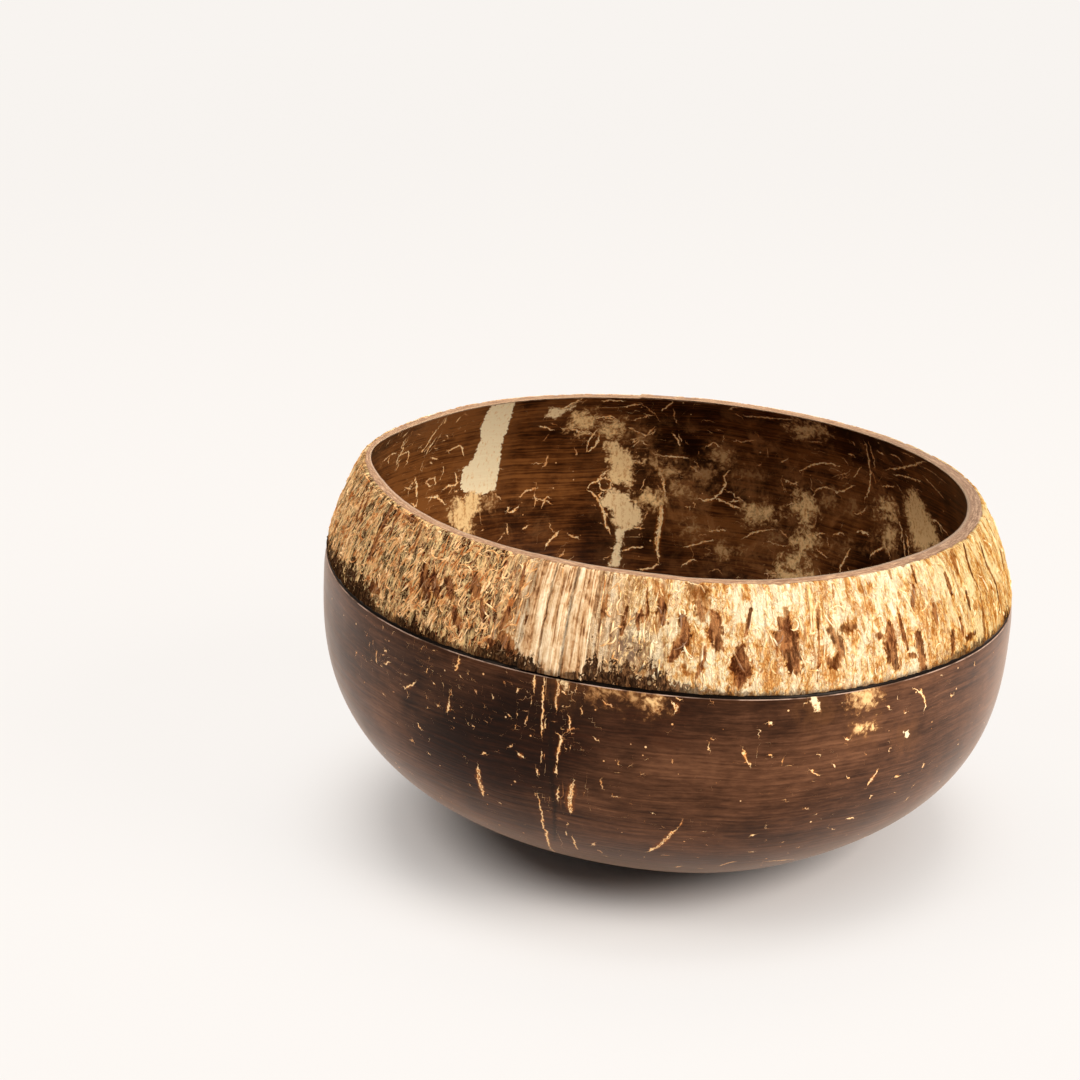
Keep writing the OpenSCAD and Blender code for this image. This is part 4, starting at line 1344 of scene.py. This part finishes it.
# Over the rim, down the back and under the lower edge
husk_rings += [inset_ring(husk_top, inset) for inset in (TOP_INSET, HUSK_THICKNESS)]
for share in (0.75, 0.5, 0.25, 0.0):
    husk_rings.append(inset_ring(HUSK_EDGE_HEIGHT + share * (husk_top - HUSK_EDGE_HEIGHT), HUSK_THICKNESS))
under = natural(husk_turns, np.full(HUSK_COLUMNS, HUSK_EDGE_HEIGHT)) - UNDER_INSET
husk_rings.append(around(husk_turns, under, lower_edge - UNDER_DROP))
husk_points = np.concatenate(husk_rings)
husk_faces = [ring_quads(len(husk_rings), HUSK_COLUMNS, closed=True)]

# Painted shadow in the dark lines beside and between the strands: where, as shares of the seam's span, and
# how strong
SEAM_GAP_SHADOWS = [(0.0, 0.35), (0.30, 0.55), (0.64, 1.0), (1.0, 0.5)]
SEAM_GAP_SHADOW_WIDTH = 0.015
# Where the husk is tinted grey
HUSK_GREY = [
    ((614, 640), 4.5, 0.9), ((604, 622), 3.0, 0.6), ((628, 655), 4.0, 0.8), ((650, 650), 4.0, 0.4),
    ((416, 546), 1.6, 0.7), ((376, 588), 1.8, 0.8), ((450, 588), 5.0, 0.2),
]


def husk_fields(points):
    """What the husk's materials read at each point."""
    a = np.arctan2(points[:, 1], points[:, 0])
    burn = scorch_height(a)
    share = (np.degrees(a) - SEAM_TURN) / SEAM_SPAN + 0.5
    return {
        "grain": wrapped(a, outside.length(points[:, 2])),
        "side": left_share(a),
        "scorch": burn - (points[:, 2] - HUSK_EDGE_HEIGHT),
        "grey": soft_spots(points, outside, HUSK_GREY),
        # Painted shadow beside and between the seam's strands
        "gap": sum(much * np.exp(-((share - middle) / SEAM_GAP_SHADOW_WIDTH) ** 2) for middle, much in SEAM_GAP_SHADOWS),
        "seam": smooth_step(np.abs(share - 0.5), 1.15, 0.5),
        "burn": burn,
    }


def spot_fields(points):
    """The husk's brown spots, as fields of the pieces that show them."""
    return dict(zip(SPOT_LAYERS, line_fields(husk_marks, points, len(SPOT_LAYERS), signed=False)))


# The spots that the photo shows, and random ones on the hidden side: their count, directions,
# lowest places and lengths up the meridian, spread of lean, half widths and strengths
HIDDEN_SPOTS = 150
SPOT_TURNS = (-8, 188)
SPOT_LOWS = (84, 101)
SPOT_LENGTHS = (1.5, 5.5)
SPOT_LEAN = 0.15
SPOT_WIDTHS = (0.25, 0.9)
SPOT_STRENGTHS = (0.4, 1.0)
husk_marks = spots_of(HUSK_SPOT_PIXELS)
for _ in range(HIDDEN_SPOTS):
    a = math.radians(rng.uniform(*SPOT_TURNS))
    low = rng.uniform(*SPOT_LOWS)
    tall = rng.uniform(*SPOT_LENGTHS)
    lean_share = rng.normal(0, SPOT_LEAN)
    half_width, strength = rng.uniform(*SPOT_WIDTHS), rng.uniform(*SPOT_STRENGTHS)
    places = [(a, low), (a + lean_share * tall / BODY_RADIUS, low + tall)]
    husk_marks.append(Mark(outside, places, half_width, strength))
outer_count = HUSK_RINGS * HUSK_COLUMNS
husk_extra = husk_fields(husk_points)
for key, values in spot_fields(husk_points[:outer_count]).items():
    husk_extra[key] = np.tile(NO_LINE, (len(husk_points), 1))
    husk_extra[key][:outer_count] = values

add_piece("shell_wall", shell_points, shell_faces, shell_material(), ["shell"], shell_fields)
add_piece("husk_layer", husk_points, husk_faces, husk_material("husk"), ["husk_band"], husk_extra)

# Seam strands: three flat ribbons of fibre with uneven edges and ridges along them
STRAND_ROWS = 90
STRAND_COLUMNS = 15
# How thick a strand is at its two ends, as a share of its full rise, how far it stops below the
# rim, how deep its underside lies in the husk, and how uneven its edges are in degrees
STRAND_END_SHARE = 0.45
STRAND_STOP = 0.1
STRAND_SUNK = 0.35
STRAND_UNEVEN = 0.4
across = np.linspace(0, 1, STRAND_COLUMNS)
strand_points = []
strand_faces = []
count = 0
for number, (first, last) in enumerate(STRAND_EDGE_SHARES):
    left_turn = SEAM_TURN - SEAM_SPAN / 2 + first * SEAM_SPAN
    right_turn = SEAM_TURN - SEAM_SPAN / 2 + last * SEAM_SPAN
    for share in np.linspace(0, 1, STRAND_ROWS):
        h = np.full(STRAND_COLUMNS, HUSK_EDGE_HEIGHT + share * (RIM_HEIGHT - STRAND_STOP - HUSK_EDGE_HEIGHT))
        rise = STRAND_RISE * (STRAND_END_SHARE + (1 - STRAND_END_SHARE) * math.sin(math.pi * share))
        sides = np.array([[share * 9, number * 3.3, 0.5], [share * 9, number * 3.3, 9.5]])
        edge = STRAND_UNEVEN * layered(sides, 91)
        a = np.radians(left_turn + edge[0] + across * (right_turn + edge[1] - left_turn - edge[0]))
        grid = np.column_stack([across * 5 + number * 7, np.full(STRAND_COLUMNS, share * 3), 0 * across])
        rounding = np.sin(math.pi * np.clip(across, 0.02, 0.98)) ** 0.5
        high = rise * rounding * (0.7 + 0.25 * layered(grid, 93))
        strand_points.append(around(a, natural(a, h) + np.maximum(high, 0.02), h))
        strand_points.append(around(a, natural(a, h) - STRAND_SUNK, h)[::-1])
    size = 2 * STRAND_COLUMNS
    here = np.arange(STRAND_COLUMNS - 1)
    lid = np.stack([here, here + 1, size - 2 - here, size - 1 - here], -1)
    bottom_lid = np.stack([here, size - 1 - here, size - 2 - here, here + 1], -1)
    strand_faces += [
        ring_quads(STRAND_ROWS, size) + count, bottom_lid + count, lid + count + (STRAND_ROWS - 1) * size,
    ]
    count += STRAND_ROWS * size
strand_points = np.concatenate(strand_points)
strand_look = husk_material("seam_fibre", pale_only=True)
add_piece("seam_ribbons", strand_points, strand_faces, strand_look, ["seam_strands"],
          husk_fields(strand_points))

# Loose threads on the husk: thin and tapering, they lie on it, mostly up the meridian
THREADS_DRAWN = 3800
THREAD_SIDES = 5
THREAD_STEPS = 8
# What share of the threads drawn is kept away from the husk's left part
KEPT_SHARE = 0.15
# Curled and straight threads: mean length, and the spread of their direction and of their bend
CURLED, STRAIGHT = (2.4, 1.0, 2.4), (3.2, 0.25, 0.5)
THREAD_LENGTH_SPREAD = 0.45
THREAD_HALF_WIDTHS = (0.10, 0.22)
# How the threads lean: on the left, as seen in the photo, and elsewhere
LEFT_LEAN, PLAIN_LEAN = -0.35, 0.1
LONG_BEND = 0.12
# Lengths up the meridian between which the threads lie, and how far inside them their middles do
THREADS_LOW = float(outside.length(HUSK_EDGE_HEIGHT + 0.6))
THREADS_HIGH = float(outside.length(RIM_HEIGHT - 0.5))
THREAD_MARGIN = 0.6
# How deep a thread's ends sink into the husk, and how far its middle rises from there
THREAD_SUNK = -0.22
THREAD_ARCH = 0.18
# Long threads that the photo shows: from one of its places to another, and their half width
LONG_THREADS = [
    ((814, 690), (806, 584), 0.36), ((817, 690), (810, 600), 0.16), ((556, 660), (562, 572), 0.20),
    ((571, 668), (584, 574), 0.16), ((594, 660), (604, 580), 0.14),
]


def thread_between(first, last, thick):
    """A long thread that follows two places of the photo."""
    (a, low), (b, high) = outside.cast([first, last])
    over, up = (b - a) * BODY_RADIUS, high - low
    return (a + b) / 2, (low + high) / 2, math.hypot(up, over), math.atan2(up, over), LONG_BEND, thick


def thread_points(a, length, size, way, bend, thick):
    """Rings of points along a thread: its middle, its size, which way it runs and how much it turns."""
    steps = np.linspace(-0.5, 0.5, THREAD_STEPS)
    turn_of = way + bend * steps
    mean_turn = (turn_of[1:] + turn_of[:-1]) / 2
    stride = size / (THREAD_STEPS - 1)
    along = np.concatenate([[0], np.cumsum(np.sin(mean_turn))]) * stride
    over = np.concatenate([[0], np.cumsum(np.cos(mean_turn))]) * stride
    directions = a + over / BODY_RADIUS
    lengths = np.clip(length + along, THREADS_LOW, THREADS_HIGH)
    spine = outside.at(directions, lengths)
    ahead = np.gradient(spine, axis=0)
    ahead /= np.linalg.norm(ahead, axis=1)[:, None] + 1e-9
    # Away from the surface: mostly level, and a little up
    out = around(directions, 1, 0.25)
    out /= np.linalg.norm(out, axis=1)[:, None]
    lift = THREAD_SUNK + THREAD_ARCH * np.sin(math.pi * (steps + 0.5)) + husk_relief(lengths, directions)
    spine = (spine + out * lift[:, None])[:, None]
    beside, out = np.cross(ahead, out)[:, None], out[:, None]
    radius = thick * np.maximum(np.cos(math.pi * steps), 0.12) ** 0.6
    spin = np.arange(THREAD_SIDES)[:, None] / THREAD_SIDES * 2 * math.pi
    rings = spine + radius[:, None, None] * (np.cos(spin) * beside + np.sin(spin) * out)
    return rings.reshape(-1, 3)


thread_rows = []
for _ in range(THREADS_DRAWN):
    a = rng.uniform(-math.pi, math.pi)
    leftness = float(left_share(a))
    if rng.uniform() > KEPT_SHARE + (1 - KEPT_SHARE) * leftness:
        continue
    # No loose threads on the seam or just beside it
    if abs(math.degrees(a) - SEAM_TURN) < 0.6 * SEAM_SPAN:
        continue
    lean_way = LEFT_LEAN * leftness if a < -math.pi / 2 else PLAIN_LEAN
    mean_length, way_spread, bend_spread = CURLED if rng.uniform() < 0.5 else STRAIGHT
    length = rng.uniform(THREADS_LOW + THREAD_MARGIN, THREADS_HIGH - THREAD_MARGIN)
    size = mean_length * rng.lognormal(0, THREAD_LENGTH_SPREAD)
    way = math.pi / 2 + lean_way + rng.normal(0, way_spread)
    bend = rng.normal(0, bend_spread)
    thick = rng.uniform(*THREAD_HALF_WIDTHS)
    thread_rows.append((a, length, size, way, bend, thick))
    # Nothing uses this draw. It keeps the random numbers of the threads that follow.
    rng.uniform()
thread_rows += [thread_between(*row) for row in LONG_THREADS]
thread_size = THREAD_STEPS * THREAD_SIDES
thread_count = len(thread_rows)
all_points = np.concatenate([thread_points(*row) for row in thread_rows])
starts = np.arange(thread_count)[:, None, None] * thread_size
quads = (ring_quads(THREAD_STEPS, THREAD_SIDES)[:, ::-1] + starts).reshape(-1, 4)
first_end = np.arange(THREAD_SIDES)
last_end = first_end[::-1] + thread_size - THREAD_SIDES
ends = (np.stack([first_end, last_end]) + starts).reshape(-1, THREAD_SIDES)
add_piece("husk_threads", all_points, [quads, ends], thread_material(), (),
          {**husk_fields(all_points), **spot_fields(all_points)})


# Floor, light and camera. The floor's even glow: the shift of its middle, how far from there it
# starts and is full, in metres, how much of it there is, and where the rest of it comes in
GLOW_SHIFT = (0.007, 0, 0)
GLOW_REACH = (0.037, 0.089)
GLOW_SHARE = 0.9
GLOW_FAR = (0.2, 1.2)
FLOOR_HALF = 5.0
FLOOR_DROP = 0.0002
LAMP_AIM = (0, 0, 0.05)
# Lamps: place and size in metres, power and tint
LAMPS = {
    "overhead": ((0.0, 0.25, 1.3), (1.1, 0.9), 17, (1.0, 0.975, 0.95)),
    "key": ((1.2, -0.75, 0.88), (0.9, 0.8), 30, (1.0, 0.965, 0.93)),
    "fill": ((-0.95, -0.45, 1.25), (0.8, 0.7), 9, (1.0, 0.97, 0.94)),
}
WORLD_TINT = (1.0, 0.985, 0.97, 1)
WORLD_STRENGTH = 0.16


def placed(name, data):
    thing = bpy.data.objects.new(name, data)
    bpy.context.scene.collection.objects.link(thing)
    return thing


def floor_material():
    """A pale sheet whose far part glows evenly for the camera, and which keeps the bowl's shadow."""
    t = Tree("floor_white")
    place = t.nodes.new("ShaderNodeTexCoord").outputs["Object"]
    t.finish(t.mix(t.noise(place, 3.0), colour(234, 228, 223), colour(237, 231, 226)), 0.9, 0.1)
    distance = t.vector("LENGTH", t.vector("ADD", place, GLOW_SHIFT), output="Value")
    share = distance.step(*GLOW_REACH, 0.0, GLOW_SHARE) + distance.step(*GLOW_FAR, 0.0, 1.0 - GLOW_SHARE)
    path = t.nodes.new("ShaderNodeLightPath").outputs
    seen = t.most(path["Is Camera Ray"], path["Is Glossy Ray"], path["Is Transmission Ray"])
    glow = t.add("ShaderNodeEmission", {"Color": colour(248, 244, 240)})[1][0]
    blend = t.add("ShaderNodeMixShader", {0: seen * share, 1: t.shader.outputs[0], 2: glow})[1][0]
    t.feed(t.nodes["Material Output"].inputs["Surface"], blend)
    return t.material


floor_mesh = bpy.data.meshes.new("floor")
corners = [(FLOOR_HALF * x, FLOOR_HALF * y, 0) for x, y in ((-1, -1), (1, -1), (1, 1), (-1, 1))]
floor_mesh.from_pydata(corners, [], [(0, 1, 2, 3)])
floor_mesh.materials.append(floor_material())
floor = placed("floor", floor_mesh)
floor.location.z = -FLOOR_DROP

for name, (place, size, power, tint) in LAMPS.items():
    data = bpy.data.lights.new(name, "AREA")
    data.shape = "RECTANGLE"
    data.size, data.size_y = size
    data.energy = power
    data.color = tint
    lamp = placed(name, data)
    lamp.location = place
    way = np.array(LAMP_AIM) - np.array(place)
    tilt = math.acos(-way[2] / np.linalg.norm(way))
    lamp.rotation_euler = (tilt, 0, math.atan2(way[1], way[0]) - math.pi / 2)

world = bpy.data.worlds.new("studio")
bpy.context.scene.world = world
world.use_nodes = True
world.node_tree.nodes["Background"].inputs["Color"].default_value = WORLD_TINT
world.node_tree.nodes["Background"].inputs["Strength"].default_value = WORLD_STRENGTH

camera_data = bpy.data.cameras.new("camera")
camera_data.sensor_width = SENSOR
camera_data.lens = PHOTO_FOCAL / PHOTO_SIZE * SENSOR
camera_data.clip_start = 0.01
camera = placed("camera", camera_data)
camera.location = EYE / 1000
camera.rotation_euler = (math.pi / 2 - ELEVATION, 0, 0)
bpy.context.scene.camera = camera
bpy.context.scene.view_settings.view_transform = "Standard"
